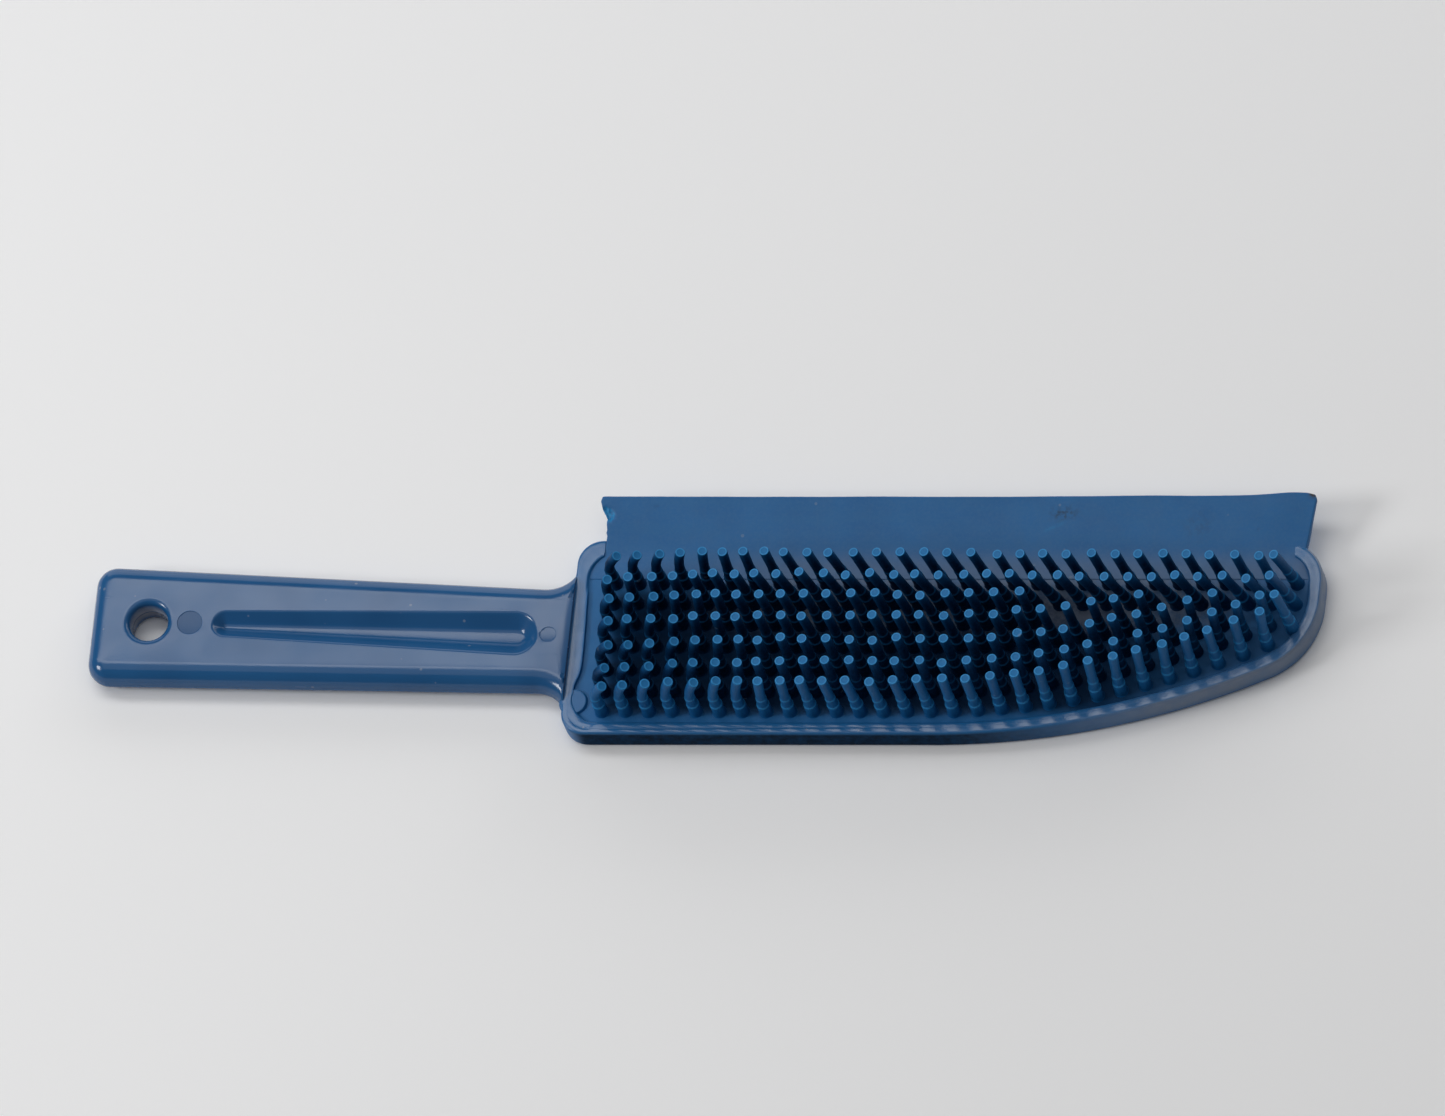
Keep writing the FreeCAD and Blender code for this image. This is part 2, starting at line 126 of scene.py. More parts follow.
def along_table(table, x):
    """The value at x of a line drawn through (x, value) points, level beyond its ends."""
    if x <= table[0][0]:
        return table[0][1]
    for (x0, v0), (x1, v1) in zip(table, table[1:]):
        if x <= x1:
            return mix(v0, v1, (x - x0) / (x1 - x0))
    return table[-1][1]


def wobble(x, y=0.0, z=0.0):
    """Smooth noise from about -1 to 1."""
    return noise.noise(Vector((x, y, z)))


# ---- meshes ----


class Shell:
    """A mesh in the making: rings of points joined by quads, and a value for each point."""

    def __init__(self):
        self.points = []
        self.faces = []
        self.values = {}

    def add(self, point, **values):
        self.points.append(point)
        for name, number in values.items():
            self.values.setdefault(name, {})[len(self.points) - 1] = number
        return len(self.points) - 1

    def ring(self, points, **values):
        return [self.add(p, **values) for p in points]

    def join(self, a, b, closed=True):
        count = len(a)
        for i in range(count if closed else count - 1):
            j = (i + 1) % count
            self.faces.append((a[i], a[j], b[j], b[i]))

    def build(self, name, material, sharp=40.0):
        mesh = bpy.data.meshes.new(name)
        mesh.from_pydata([to_row(*p) for p in self.points], [], self.faces)
        for label, numbers in self.values.items():
            layer = mesh.attributes.new(label, "FLOAT", "POINT")
            layer.data.foreach_set("value", [numbers.get(i, 0.0) for i in range(len(self.points))])
        tidy = bmesh.new()
        tidy.from_mesh(mesh)
        bmesh.ops.recalc_face_normals(tidy, faces=tidy.faces)
        tidy.to_mesh(mesh)
        tidy.free()
        mesh.shade_smooth()
        mesh.set_sharp_from_angle(angle=math.radians(sharp))
        mesh.materials.append(material)
        piece = bpy.data.objects.new(name, mesh)
        bpy.context.scene.collection.objects.link(piece)
        return piece


def finish_piece(piece, node):
    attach(piece, "root")
    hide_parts(node)


# ---- materials ----


class Nodes:
    """A material's node tree, with short ways to add the few kinds of node used here."""

    def __init__(self, name):
        self.material = bpy.data.materials.new(name)
        self.material.use_nodes = True
        self.tree = self.material.node_tree
        self.shader = self.tree.nodes["Principled BSDF"]
        self.place = self.node("ShaderNodeTexCoord").outputs["Object"]

    def node(self, kind, **settings):
        made = self.tree.nodes.new(kind)
        for name, setting in settings.items():
            setattr(made, name, setting)
        return made

    def link(self, source, target):
        self.tree.links.new(source, target)

    def feed(self, target, source):
        """Gives a socket a number, a colour or another node's output."""
        if isinstance(source, bpy.types.NodeSocket):
            self.link(source, target)
        elif isinstance(source, tuple) and len(source) == 3 and target.type == "RGBA":
            target.default_value = (*source, 1.0)
        else:
            target.default_value = source

    def attribute(self, name):
        return self.node("ShaderNodeAttribute", attribute_name=name).outputs["Fac"]

    def stretched(self, scale, turn=0.0):
        mapping = self.node("ShaderNodeMapping")
        mapping.inputs["Scale"].default_value = scale
        mapping.inputs["Rotation"].default_value = (0.0, 0.0, turn)
        self.link(self.place, mapping.inputs["Vector"])
        return mapping.outputs["Vector"]

    def noise(self, size_mm, detail=3.0, roughness=0.55, vector=None, distortion=0.0):
        """Noise whose blotches are about size_mm across."""
        made = self.node("ShaderNodeTexNoise")
        self.link(vector or self.place, made.inputs["Vector"])
        made.inputs["Scale"].default_value = 1.0 / (size_mm * MM)
        made.inputs["Detail"].default_value = detail
        made.inputs["Roughness"].default_value = roughness
        made.inputs["Distortion"].default_value = distortion
        return made.outputs["Fac"]

    def span(self, value, low, high, to_low=0.0, to_high=1.0, smooth=False):
        made = self.node("ShaderNodeMapRange")
        made.interpolation_type = "SMOOTHSTEP" if smooth else "LINEAR"
        self.feed(made.inputs["Value"], value)
        limits = {"From Min": low, "From Max": high, "To Min": to_low, "To Max": to_high}
        for label, number in limits.items():
            made.inputs[label].default_value = number
        return made.outputs["Result"]

    def math(self, operation, a, b=0.0):
        made = self.node("ShaderNodeMath", operation=operation)
        self.feed(made.inputs[0], a)
        self.feed(made.inputs[1], b)
        return made.outputs[0]

    def times(self, *factors):
        product = factors[0]
        for factor in factors[1:]:
            product = self.math("MULTIPLY", product, factor)
        return product

    def rest(self, value):
        """What a value from 0 to 1 leaves of 1."""
        return self.math("SUBTRACT", 1.0, value)

    def blend(self, share, a, b):
        made = self.node("ShaderNodeMix", data_type="RGBA")
        self.feed(made.inputs["Factor"], share)
        self.feed(made.inputs["A"], a)
        self.feed(made.inputs["B"], b)
        return made.outputs["Result"]

    def along(self, axis, low, high):
        """0 before low and 1 beyond high, in the head's own millimetres along X or Y."""
        parts = self.node("ShaderNodeSeparateXYZ")
        self.link(self.place, parts.inputs["Vector"])
        corner = HEAD_CORNER["XYZ".index(axis)]
        return self.span(parts.outputs[axis], corner + low * MM, corner + high * MM, smooth=True)

    def specks(self, size_mm, share):
        """Small separate dots: 1 inside a dot, 0 elsewhere."""
        cells = self.node("ShaderNodeTexVoronoi")
        self.link(self.place, cells.inputs["Vector"])
        cells.inputs["Scale"].default_value = 1.0 / (size_mm * MM)
        chance = self.math("FRACT", self.times(cells.outputs["Color"], 7.3))
        chosen = self.span(chance, share, share - 0.02)
        near = self.span(cells.outputs["Distance"], 0.22, 0.12, smooth=True)
        return self.times(chosen, near)

    def bump(self, height, distance_mm, strength=1.0, after=None):
        made = self.node("ShaderNodeBump")
        made.inputs["Strength"].default_value = strength
        made.inputs["Distance"].default_value = distance_mm * MM
        self.link(height, made.inputs["Height"])
        if after is not None:
            self.link(after, made.inputs["Normal"])
        return made.outputs["Normal"]

    def specular(self, level):
        self.feed(self.shader.inputs["Specular IOR Level"], level)

    def surface(self, colour, roughness, normal, ior=1.5):
        self.feed(self.shader.inputs["Base Color"], colour)
        self.feed(self.shader.inputs["Roughness"], roughness)
        self.feed(self.shader.inputs["Normal"], normal)
        self.shader.inputs["IOR"].default_value = ior
        return self.material


# Colours as linear red, green and blue. The pairs are what clouds of noise blend between.
PLASTIC = ((0.0085, 0.078, 0.215), (0.0115, 0.090, 0.240))
PLASTIC_SCUFFED = (0.08, 0.17, 0.30)
PLASTIC_DULL = (0.006, 0.058, 0.165)
PLASTIC_SPECK = (0.22, 0.27, 0.34)
# A painted reflection of the bright floor on the hang hole's wall.
HOLE_WALL_REFLECTION = (0.40, 0.39, 0.39)
PAD_RUBBER = ((0.0080, 0.112, 0.305), (0.0115, 0.130, 0.338))
PAD_BLOOM = (0.080, 0.140, 0.215)
# Dust on the nose, together with a painted reflection on its wall.
PAD_DUST_AND_SHEEN = (0.190, 0.225, 0.290)
# The painted shade on the pad's near wall.
PAD_NEAR_WALL_SHADE = (0.0008, 0.0030, 0.0085)
# The painted shade on the floor among the pins.
PAD_SHADE_AMONG_PINS = (0.0011, 0.015, 0.050)
PAD_LINT = (0.170, 0.200, 0.255)
PAD_SPECK = (0.30, 0.34, 0.38)
BLADE_RUBBER = ((0.0060, 0.105, 0.297), (0.0090, 0.122, 0.332))
BLADE_VEIL = (0.08, 0.14, 0.22)
BLADE_FLECK = (0.045, 0.150, 0.310)
BLADE_STREAK = (0.014, 0.125, 0.31)
BLADE_STAIN = (0.012, 0.020, 0.032)
BLADE_FRESH = (0.003, 0.22, 0.50)
BLADE_EARTH = (0.035, 0.028, 0.025)
BLADE_LINT = (0.150, 0.185, 0.245)
PIN_RUBBER = ((0.0040, 0.086, 0.255), (0.0065, 0.104, 0.295))
PIN_PALE = (0.010, 0.118, 0.300)
PIN_SHADE = (0.0006, 0.0080, 0.032)
# The painted highlight on the pins' ledges.
PIN_LEDGE_HIGHLIGHT = (0.022, 0.200, 0.46)
PIN_TIP = (0.022, 0.250, 0.565)
RUBBER_SPECK = (0.20, 0.26, 0.33)
FLOOR_WHITE = ((0.925, 0.925, 0.93), (0.935, 0.935, 0.94))


def handle_material():
    n = Nodes("handle_plastic")
    clouds = n.span(n.noise(26.0, 2.0), 0.35, 0.65, smooth=True)
    colour = n.blend(clouds, *PLASTIC)
    scratch_field = n.noise(1.1, 1.5, vector=n.stretched((0.045, 1.0, 1.0), 0.03), distortion=0.2)
    scratches = n.span(scratch_field, 0.70, 0.76, smooth=True)
    scuff = n.times(scratches, n.span(n.noise(18.0, 2.0), 0.5, 0.62, smooth=True))
    colour = n.blend(n.times(scuff, 0.22), colour, PLASTIC_SCUFFED)
    mark = n.attribute("mark")
    colour = n.blend(n.times(mark, 0.9), colour, PLASTIC_DULL)
    colour = n.blend(n.times(n.specks(2.3, 0.06), 0.5), colour, PLASTIC_SPECK)
    # Painted reflection: the hang hole's wall is lightened towards pale grey, as the bright floor
    # through the hole would light it.
    colour = n.blend(n.times(n.attribute("liner"), 0.65), colour, HOLE_WALL_REFLECTION)
    rough = n.math("ADD", n.span(n.noise(9.0, 4.0), 0.3, 0.7, 0.13, 0.21), n.times(scuff, 0.15))
    rough = n.math("ADD", rough, n.times(mark, 0.25))
    n.specular(n.span(n.attribute("film"), 0.0, 1.0, 0.5, 0.02))
    swell = n.bump(n.noise(22.0, 1.0), 0.35, 0.35)
    skin = n.bump(n.noise(0.5, 2.0), 0.012, 0.5, after=swell)
    normal = n.bump(scuff, 0.02, 0.4, after=skin)
    return n.surface(colour, rough, normal, ior=1.49)


def rubber_layers(n, dark_and_light):
    """The moulded rubber's own colour in soft clouds, and a field of faint flow streaks."""
    clouds = n.span(n.noise(14.0, 3.0), 0.3, 0.7, smooth=True)
    streaks = n.noise(1.6, 3.0, vector=n.stretched((0.06, 1.0, 1.0)))
    return n.blend(clouds, *dark_and_light), streaks


def pad_material():
    n = Nodes("rubber_pad")
    colour, streaks = rubber_layers(n, PAD_RUBBER)
    bloom, grime = n.attribute("bloom"), n.attribute("grime")
    off_rim = n.span(bloom, 0.0, 0.05, 1.0, 0.0)
    patches = n.span(n.noise(3.0, 5.0, 0.65), 0.32, 0.68, 0.35, 1.0, smooth=True)
    colour = n.blend(n.times(bloom, patches, 0.14), colour, PAD_BLOOM)
    # Pale dust on the nose, and on its wall a painted reflection of the bright floor.
    dust = n.times(n.attribute("dust"), n.span(n.noise(7.0, 4.0), 0.3, 0.7, 0.6, 1.0))
    colour = n.blend(dust, colour, PAD_DUST_AND_SHEEN)
    # Painted shade darkens the near wall and takes away most of its gloss.
    painted_wall_shade = n.times(grime, n.span(n.noise(1.8, 5.0, 0.7), 0.25, 0.7, 1.0, 0.72))
    colour = n.blend(painted_wall_shade, colour, PAD_NEAR_WALL_SHADE)
    # Painted shade on the floor among the pins, fainter towards the nose, with less gloss there.
    among_pins = n.times(n.along("X", 8.0, 13.0), n.along("Y", 4.0, 9.0),
                         n.rest(n.along("Y", 37.0, 44.5)), off_rim)
    shaded = n.times(among_pins, n.span(n.along("X", 135.0, 172.0), 0.0, 1.0, 0.9, 0.25))
    colour = n.blend(shaded, colour, PAD_SHADE_AMONG_PINS)
    fluff = n.span(n.noise(6.0, 5.0, 0.7), 0.36, 0.60, 0.35, 1.0, smooth=True)
    lint = n.times(fluff, n.along("Y", 27.0, 35.0), n.along("X", 25.0, 60.0), 0.60,
                   n.rest(n.along("X", 165.0, 182.0)), off_rim)
    colour = n.blend(lint, colour, PAD_LINT)
    colour = n.blend(n.times(n.specks(1.7, 0.05), bloom, 0.55), colour, PAD_SPECK)
    rough = n.span(n.noise(2.2, 4.0), 0.3, 0.7, 0.50, 0.60)
    rough = n.math("SUBTRACT", rough, n.times(bloom, 0.39))
    n.specular(n.times(n.span(bloom, 0.0, 1.0, 0.34, 0.50),
                       n.span(among_pins, 0.0, 1.0, 1.0, 0.2),
                       n.span(grime, 0.0, 1.0, 1.0, 0.05)))
    grain = n.bump(n.noise(0.35, 3.0), 0.025, 0.5)
    waves = n.bump(n.noise(5.0, 2.0), 0.12, 0.4, after=grain)
    return n.surface(colour, rough, n.bump(streaks, 0.02, 0.35, after=waves))


def blade_material():
    n = Nodes("rubber_blade")
    colour, streaks = rubber_layers(n, BLADE_RUBBER)
    veil = n.span(n.noise(6.0, 6.0, 0.7), 0.40, 0.72, smooth=True)
    colour = n.blend(n.times(veil, 0.12), colour, BLADE_VEIL)
    flecks = n.span(n.noise(0.8, 3.0), 0.42, 0.66, 0.0, 0.22)
    colour = n.blend(flecks, colour, BLADE_FLECK)
    drawn = n.span(streaks, 0.42, 0.62, smooth=True)
    colour = n.blend(n.times(drawn, 0.28), colour, BLADE_STREAK)
    blotches = n.span(n.noise(1.5, 5.0, 0.7), 0.42, 0.62, smooth=True)
    colour = n.blend(n.times(n.attribute("stain"), blotches, 0.75), colour, BLADE_STAIN)
    fresh = n.times(n.attribute("fresh"), n.span(n.noise(0.8, 4.0), 0.35, 0.6, 0.2, 1.0))
    colour = n.blend(fresh, colour, BLADE_FRESH)
    earth = n.times(n.attribute("earth"), n.span(n.noise(0.9, 4.0), 0.35, 0.6))
    colour = n.blend(earth, colour, BLADE_EARTH)
    foot = n.times(n.rest(n.along("Y", 46.5, 54.0)), n.along("X", 25.0, 60.0), 0.35)
    colour = n.blend(foot, colour, BLADE_LINT)
    colour = n.blend(n.times(n.specks(2.6, 0.05), 0.35), colour, RUBBER_SPECK)
    rough = n.span(n.noise(3.0, 4.0), 0.3, 0.7, 0.42, 0.54)
    n.specular(0.35)
    grain = n.bump(n.noise(0.4, 3.0), 0.022, 0.5)
    return n.surface(colour, rough, n.bump(streaks, 0.03, 0.4, after=grain))


def pin_material():
    n = Nodes("rubber_pins")
    clouds = n.span(n.noise(9.0, 3.0), 0.3, 0.7, smooth=True)
    colour = n.blend(clouds, *PIN_RUBBER)
    colour = n.blend(n.span(n.attribute("tone"), 0.0, 1.0, 0.0, 0.35), colour, PIN_PALE)
    low, tip = n.attribute("low"), n.attribute("tip")
    shaded = n.times(low, n.span(n.noise(1.2, 3.0), 0.3, 0.7, 0.75, 1.0))
    colour = n.blend(shaded, colour, PIN_SHADE)
    # Painted highlight on the pins' ledges.
    colour = n.blend(n.attribute("step"), colour, PIN_LEDGE_HIGHLIGHT)
    patches = n.span(n.noise(0.9, 3.0), 0.3, 0.7, 0.75, 1.0)
    colour = n.blend(n.times(tip, patches), colour, PIN_TIP)
    colour = n.blend(n.times(n.specks(3.1, 0.05), 0.3), colour, RUBBER_SPECK)
    rough = n.span(n.noise(2.0, 3.0), 0.3, 0.7, 0.42, 0.54)
    n.specular(n.times(n.span(low, 0.0, 1.0, 1.0, 0.2), n.span(tip, 0.0, 1.0, 0.14, 0.32)))
    return n.surface(colour, rough, n.bump(n.noise(0.35, 3.0), 0.02, 0.5))


def floor_material():
    n = Nodes("floor")
    clouds = n.span(n.noise(300.0, 2.0), 0.3, 0.7)
    return n.surface(n.blend(clouds, *FLOOR_WHITE), 0.7, n.bump(n.noise(2.0, 2.0), 0.01, 0.2))


# ---- outlines ----


def circle_points(centre, radius, angles):
    return [(centre[0] + radius * math.cos(a), centre[1] + radius * math.sin(a)) for a in angles]


def round_loop(centre, radius, count=64):
    return circle_points(centre, radius, [2 * math.pi * i / count for i in range(count)])


def arc_points(centre, radius, start, end, step=0.25):
    """Points round an arc between two angles in degrees, in either direction."""
    turn = math.radians(end - start)
    count = max(4, int(abs(turn) * radius / step))
    angles = [math.radians(start) + turn * i / count for i in range(count + 1)]
    return circle_points(centre, radius, angles)


def line_points(start, end, step=0.5):
    count = max(1, int(math.dist(start, end) / step))
    return [mix2(start, end, i / count) for i in range(count + 1)]


def spline_value(a, b, c, d, t):
    """A smooth curve through b and c, at a share of the way between them."""
    return 0.5 * (2 * b + (c - a) * t + (2 * a - 5 * b + 4 * c - d) * t * t
                  + (3 * b - a - 3 * c + d) * t ** 3)


def spline_points(controls, per_span=12):
    """A smooth line through its control points."""
    padded = [controls[0]] + list(controls) + [controls[-1]]
    points = []
    for four in zip(padded, padded[1:], padded[2:], padded[3:]):
        for i in range(per_span):
            points.append(tuple(spline_value(*values, i / per_span) for values in zip(*four)))
    return points + [controls[-1]]


def belly_radius():
    run = HEAD_LENGTH - NOSE_RADIUS - BELLY_START
    return (NOSE_ACROSS ** 2 + run ** 2 - NOSE_RADIUS ** 2) / (2 * (NOSE_ACROSS - NOSE_RADIUS))


def belly_rise(x):
    """How far the belly has curved away from the straight near edge at x."""
    run = max(0.0, x - BELLY_START)
    return belly_radius() - math.sqrt(belly_radius() ** 2 - run ** 2)


def belly_and_nose():
    """The belly's radius, the nose's centre, and the angle where their arcs meet."""
    belly = belly_radius()
    nose = (HEAD_LENGTH - NOSE_RADIUS, NOSE_ACROSS)
    join = math.degrees(math.atan2(nose[1] - belly, nose[0] - BELLY_START)) + 360
    return belly, nose, join


def head_outline():
    """The rim's outer edge, from the near left corner round by the nose."""
    belly, nose, join = belly_and_nose()
    far_nose = (HEAD_LENGTH - FAR_NOSE_RADIUS, HEAD_WIDTH - FAR_NOSE_RADIUS)
    near, far = CORNER_RADIUS, HEAD_WIDTH - CORNER_RADIUS
    return (
        line_points((CORNER_RADIUS, 0), (BELLY_START, 0))
        + arc_points((BELLY_START, belly), belly, 270, join)
        + arc_points(nose, NOSE_RADIUS, join, 360)
        + arc_points(far_nose, FAR_NOSE_RADIUS, 0, 90)
        + line_points((far_nose[0], HEAD_WIDTH), (CORNER_RADIUS, HEAD_WIDTH))
        + arc_points((CORNER_RADIUS, far), CORNER_RADIUS, 90, 180)
        + line_points((0, far), (0, near))
        + arc_points((CORNER_RADIUS, near), CORNER_RADIUS, 180, 270)
    )


def rim_inside():
    """The rim's inner edge, in the same direction. It swells at the corners and the handle."""
    belly, nose, join = belly_and_nose()
    far_nose, far_nose_radius = (184.6, HEAD_WIDTH - FAR_NOSE_RADIUS), 8.1
    corner, corner_radius = (10.7, 44.5), 7.5
    left_side = [(3.2, 44.5), (3.4, 38.0), (3.7, 30.0), (3.85, 21.0), (3.5, 17.2), (2.5, 13.8),
                 (2.6, 9.5), (4.0, 6.4), (5.3, 4.9), (6.8, 3.8), (8.9, 3.35)]
    return (
        line_points((9.5, NEAR_RIM_WIDTH), (BELLY_START, NEAR_RIM_WIDTH))
        + arc_points((BELLY_START, belly), belly - NEAR_RIM_WIDTH, 270, join)
        + arc_points(nose, NOSE_RADIUS - NOSE_RIM_WIDTH, join, 360)
        + arc_points(far_nose, far_nose_radius, 0, 90)
        + line_points((far_nose[0], far_nose[1] + far_nose_radius),
                      (corner[0], corner[1] + corner_radius))
        + arc_points(corner, corner_radius, 90, 180)
        + spline_points(left_side)
    )


def nearest(points, place):
    return min(range(len(points)), key=lambda i: math.dist(points[i], place))


def resample(points, knots, counts):
    """Points spaced evenly along a closed line between each knot and the next."""
    marks = [nearest(points, k) for k in knots]
    result = []
    for mark, following, count in zip(marks, marks[1:] + marks[:1], counts):
        if following <= mark:
            following += len(points)
        run = [points[i % len(points)] for i in range(mark, following + 1)]
        lengths = [0.0]
        for a, b in zip(run, run[1:]):
            lengths.append(lengths[-1] + math.dist(a, b))
        at = 0
        for i in range(count):
            target = lengths[-1] * i / count
            while lengths[at + 1] < target:
                at += 1
            share = (target - lengths[at]) / max(1e-9, lengths[at + 1] - lengths[at])
            result.append(mix2(run[at], run[at + 1], share))
    return result


def inward_normals(points):
    """Unit normals that point into a closed line drawn counter-clockwise."""
    normals = []
    for before, after in zip(points[-1:] + points[:-1], points[1:] + points[:1]):
        dx, dy = after[0] - before[0], after[1] - before[1]
        size = math.hypot(dx, dy)
        normals.append((-dy / size, dx / size))
    return normals


# ---- the rubber pad ----


def make_pad(material):
    """The pad with its rim. Behind the blade the rim sinks, so that the blade's ramp covers it."""
    nose_x = HEAD_LENGTH - NOSE_RADIUS
    far_nose_y = HEAD_WIDTH - FAR_NOSE_RADIUS
    # places where the two edges of the rim are paired, and the points between each and the next
    outer_knots = [(CORNER_RADIUS, 0), (BELLY_START, 0), (nose_x + 10, 20),
                   (HEAD_LENGTH, NOSE_ACROSS), (HEAD_LENGTH, far_nose_y), (188.05, 54.9),
                   (187.75, 55.0), (7.15, HEAD_WIDTH), (6.95, HEAD_WIDTH),
                   (0, HEAD_WIDTH - CORNER_RADIUS), (0, 24), (0, CORNER_RADIUS)]
    inner_knots = [(9.5, NEAR_RIM_WIDTH), (BELLY_START, NEAR_RIM_WIDTH), (182.6, 22.5),
                   (HEAD_LENGTH - NOSE_RIM_WIDTH, NOSE_ACROSS), (192.7, far_nose_y), (188.2, 50.9),
                   (187.9, 51.1), (7.15, 51.1), (6.95, 51.0), (3.2, 44.5), (3.8, 24), (2.7, 8.9)]
    counts = [80, 80, 44, 6, 24, 1, 150, 1, 22, 30, 24, 26]
    outer = resample(head_outline(), outer_knots, counts)
    inner = resample(rim_inside(), inner_knots, counts)
    inner_normals = inward_normals(inner)
    sunk_from = sum(counts[:6])
    sunk_to = sum(counts[:7])
    sunk_level = BLADE_SEAT + 0.2

    def crease(i):
        """The fine step along the rim's top, which the straight near side and the belly have."""
        x, y = outer[i]
        return CREASE_DEPTH * ease(2, 8, i) * (1 - ease(55, 110, x)) * (1 - ease(1.5, 4.0, y))

    shell = Shell()

    def level(i, z, sink):
        """A point's height: sunk behind the blade, square beside the handle."""
        x, y = outer[i]
        if sink and sunk_from <= i <= sunk_to and z > sunk_level:
            return sunk_level
        if x < 0.5 and z > 6.05:
            z = mix(z, LAND_LEVEL, ease(7.5, 9.5, y) * (1 - ease(44.5, 46.5, y)))
        ripple = 0.045 * wobble(x * 0.09, y * 0.09, 3.1) if z > 6.2 else 0.0
        return z + ripple

    def grime_at(i, z):
        """Painted shade on the straight near wall, thinning out towards the nose and the left
        corner.
        """
        x, y = outer[i]
        if y > 30 or z > 6.75:
            return 0.0
        return ease(2.0, 6.5, x) * (1 - ease(100, 150, x)) * (1 - 0.7 * ease(6.2, 6.75, z))

    def dust_at(i, z):
        """The nose's wall made paler: pale dust, which the hand doesn't touch, and a painted
        reflection of the bright floor beside it.
        """
        x, y = outer[i]
        return 0.9 * ease(120, 168, x) * ease(0.6, 2.0, z) if y < 53 else 0.0

    def ring(z, inset=None, share=None, extra=0.0, drop=0.0, bloom=0.3, sink=True):
        wall = share is None and inset < 0.5
        made = []
        for i in range(len(outer)):
            width = math.dist(outer[i], inner[i])
            t = share if inset is None else inset / width
            x, y = mix2(outer[i], inner[i], t)
            x += inner_normals[i][0] * extra
            y += inner_normals[i][1] * extra
            grime = grime_at(i, z) if wall else 0.0
            dust = dust_at(i, z) * (1.0 if wall else 0.2)
            point = (x, y, level(i, z - drop * crease(i), sink))
            made.append(shell.add(point, bloom=bloom, grime=grime, dust=dust))
        return made

    # from the underside's edge up the wall, over the rim and its crease, and down to the floor
    rings = [
        ring(0.0, inset=2.2, bloom=0.2),
        ring(0.0, inset=1.1, bloom=0.2),
        ring(0.08, inset=0.6, bloom=0.2),
        ring(0.32, inset=0.22, bloom=0.2),
        ring(0.75, inset=0.05, bloom=0.15),
        *[ring(z, inset=0.0, bloom=0.15) for z in (1.3, 3.0, 5.0)],
        ring(6.1, inset=0.0, bloom=0.2),
        ring(6.42, inset=0.05, bloom=0.3),
        ring(6.70, inset=0.18, bloom=0.5),
        ring(6.88, inset=0.36, bloom=0.7),
        ring(6.98, inset=0.6, bloom=0.9),
        *[ring(LAND_LEVEL, inset=inset, bloom=1.0) for inset in (0.85, 1.3, 1.78)],
        ring(LAND_LEVEL, inset=1.88, drop=0.06, bloom=0.9),
        ring(LAND_LEVEL, inset=1.95, drop=0.20, bloom=0.5),
        ring(LAND_LEVEL, inset=2.02, drop=0.16, bloom=0.8),
        ring(LAND_LEVEL, inset=2.15, drop=0.10, bloom=0.9),
        ring(LAND_LEVEL, share=0.78, drop=0.12, bloom=0.9),
        ring(6.99, share=0.90, drop=0.16, bloom=0.9),
        ring(6.93, share=0.96, drop=0.16, bloom=0.7),
        ring(6.80, share=1.0, drop=0.14, bloom=0.4),
        ring(6.35, share=1.0, extra=0.14, bloom=0.0),
        *[ring(z, share=1.0, extra=extra, bloom=0.0, sink=False)
          for z, extra in ((6.12, 0.28), (6.03, 0.48), (FLOOR_LEVEL, 0.85), (FLOOR_LEVEL, 1.5))],
    ]
    for lower, upper in zip(rings, rings[1:]):
        shell.join(lower, upper)
    shell.faces.append(tuple(reversed(rings[0])))
    shell.faces.append(tuple(rings[-1]))
    add_ejector_boss(shell)
    return shell.build("rubber_pad", material, sharp=50)


def add_ejector_boss(shell):
    """A flat disc about as high as the rim, where an ejector pushed the pad out of its mould."""
    profile = [(0.4, 5.9), (0.2, 6.1), (0.06, 6.4), (0.0, 6.66), (-0.1, 6.76), (-0.3, 6.80),
               (-0.6, 6.81)]
    rings = []
    for out, z in profile:
        loop = round_loop(BOSS_CENTRE, BOSS_RADIUS + out, 48)
        rings.append(shell.ring([(x, y, z) for x, y in loop], bloom=0.4))
    for lower, upper in zip(rings, rings[1:]):
        shell.join(lower, upper)
    shell.faces.append(tuple(rings[-1]))


# ---- the squeegee blade ----


def blade_left(y):
    """The blade's torn left end."""
    table = [(44.0, 3.4), (50.0, 3.6), (53.4, 7.0), (56.4, 7.3), (57.1, 7.0), (57.9, 7.2),
             (60.0, 6.9), (60.6, 7.1), (61.9, 6.5), (63.0, 5.8), (65.2, 5.2), (66.2, 5.6),
             (66.6, 6.4)]
    return along_table(table, y)


def blade_right(y):
    """The blade's cut right end."""
    table = [(44.0, 192.9), (50.0, 190.4), (65.4, 193.3), (66.3, 192.9), (66.6, 192.2)]
    return along_table(table, y)


def ramp_level(y):
    """The height of the blade's upper face."""
    bend = RAMP_WIDTH / math.sin(BLADE_TILT)
    rise = y - RAMP_START
    if rise <= 0:
        return FLOOR_LEVEL
    if rise <= RAMP_WIDTH:
        return FLOOR_LEVEL + bend - math.sqrt(bend ** 2 - rise ** 2)
    past_ramp = (rise - RAMP_WIDTH) * math.tan(BLADE_TILT)
    return FLOOR_LEVEL + bend * (1 - math.cos(BLADE_TILT)) + past_ramp


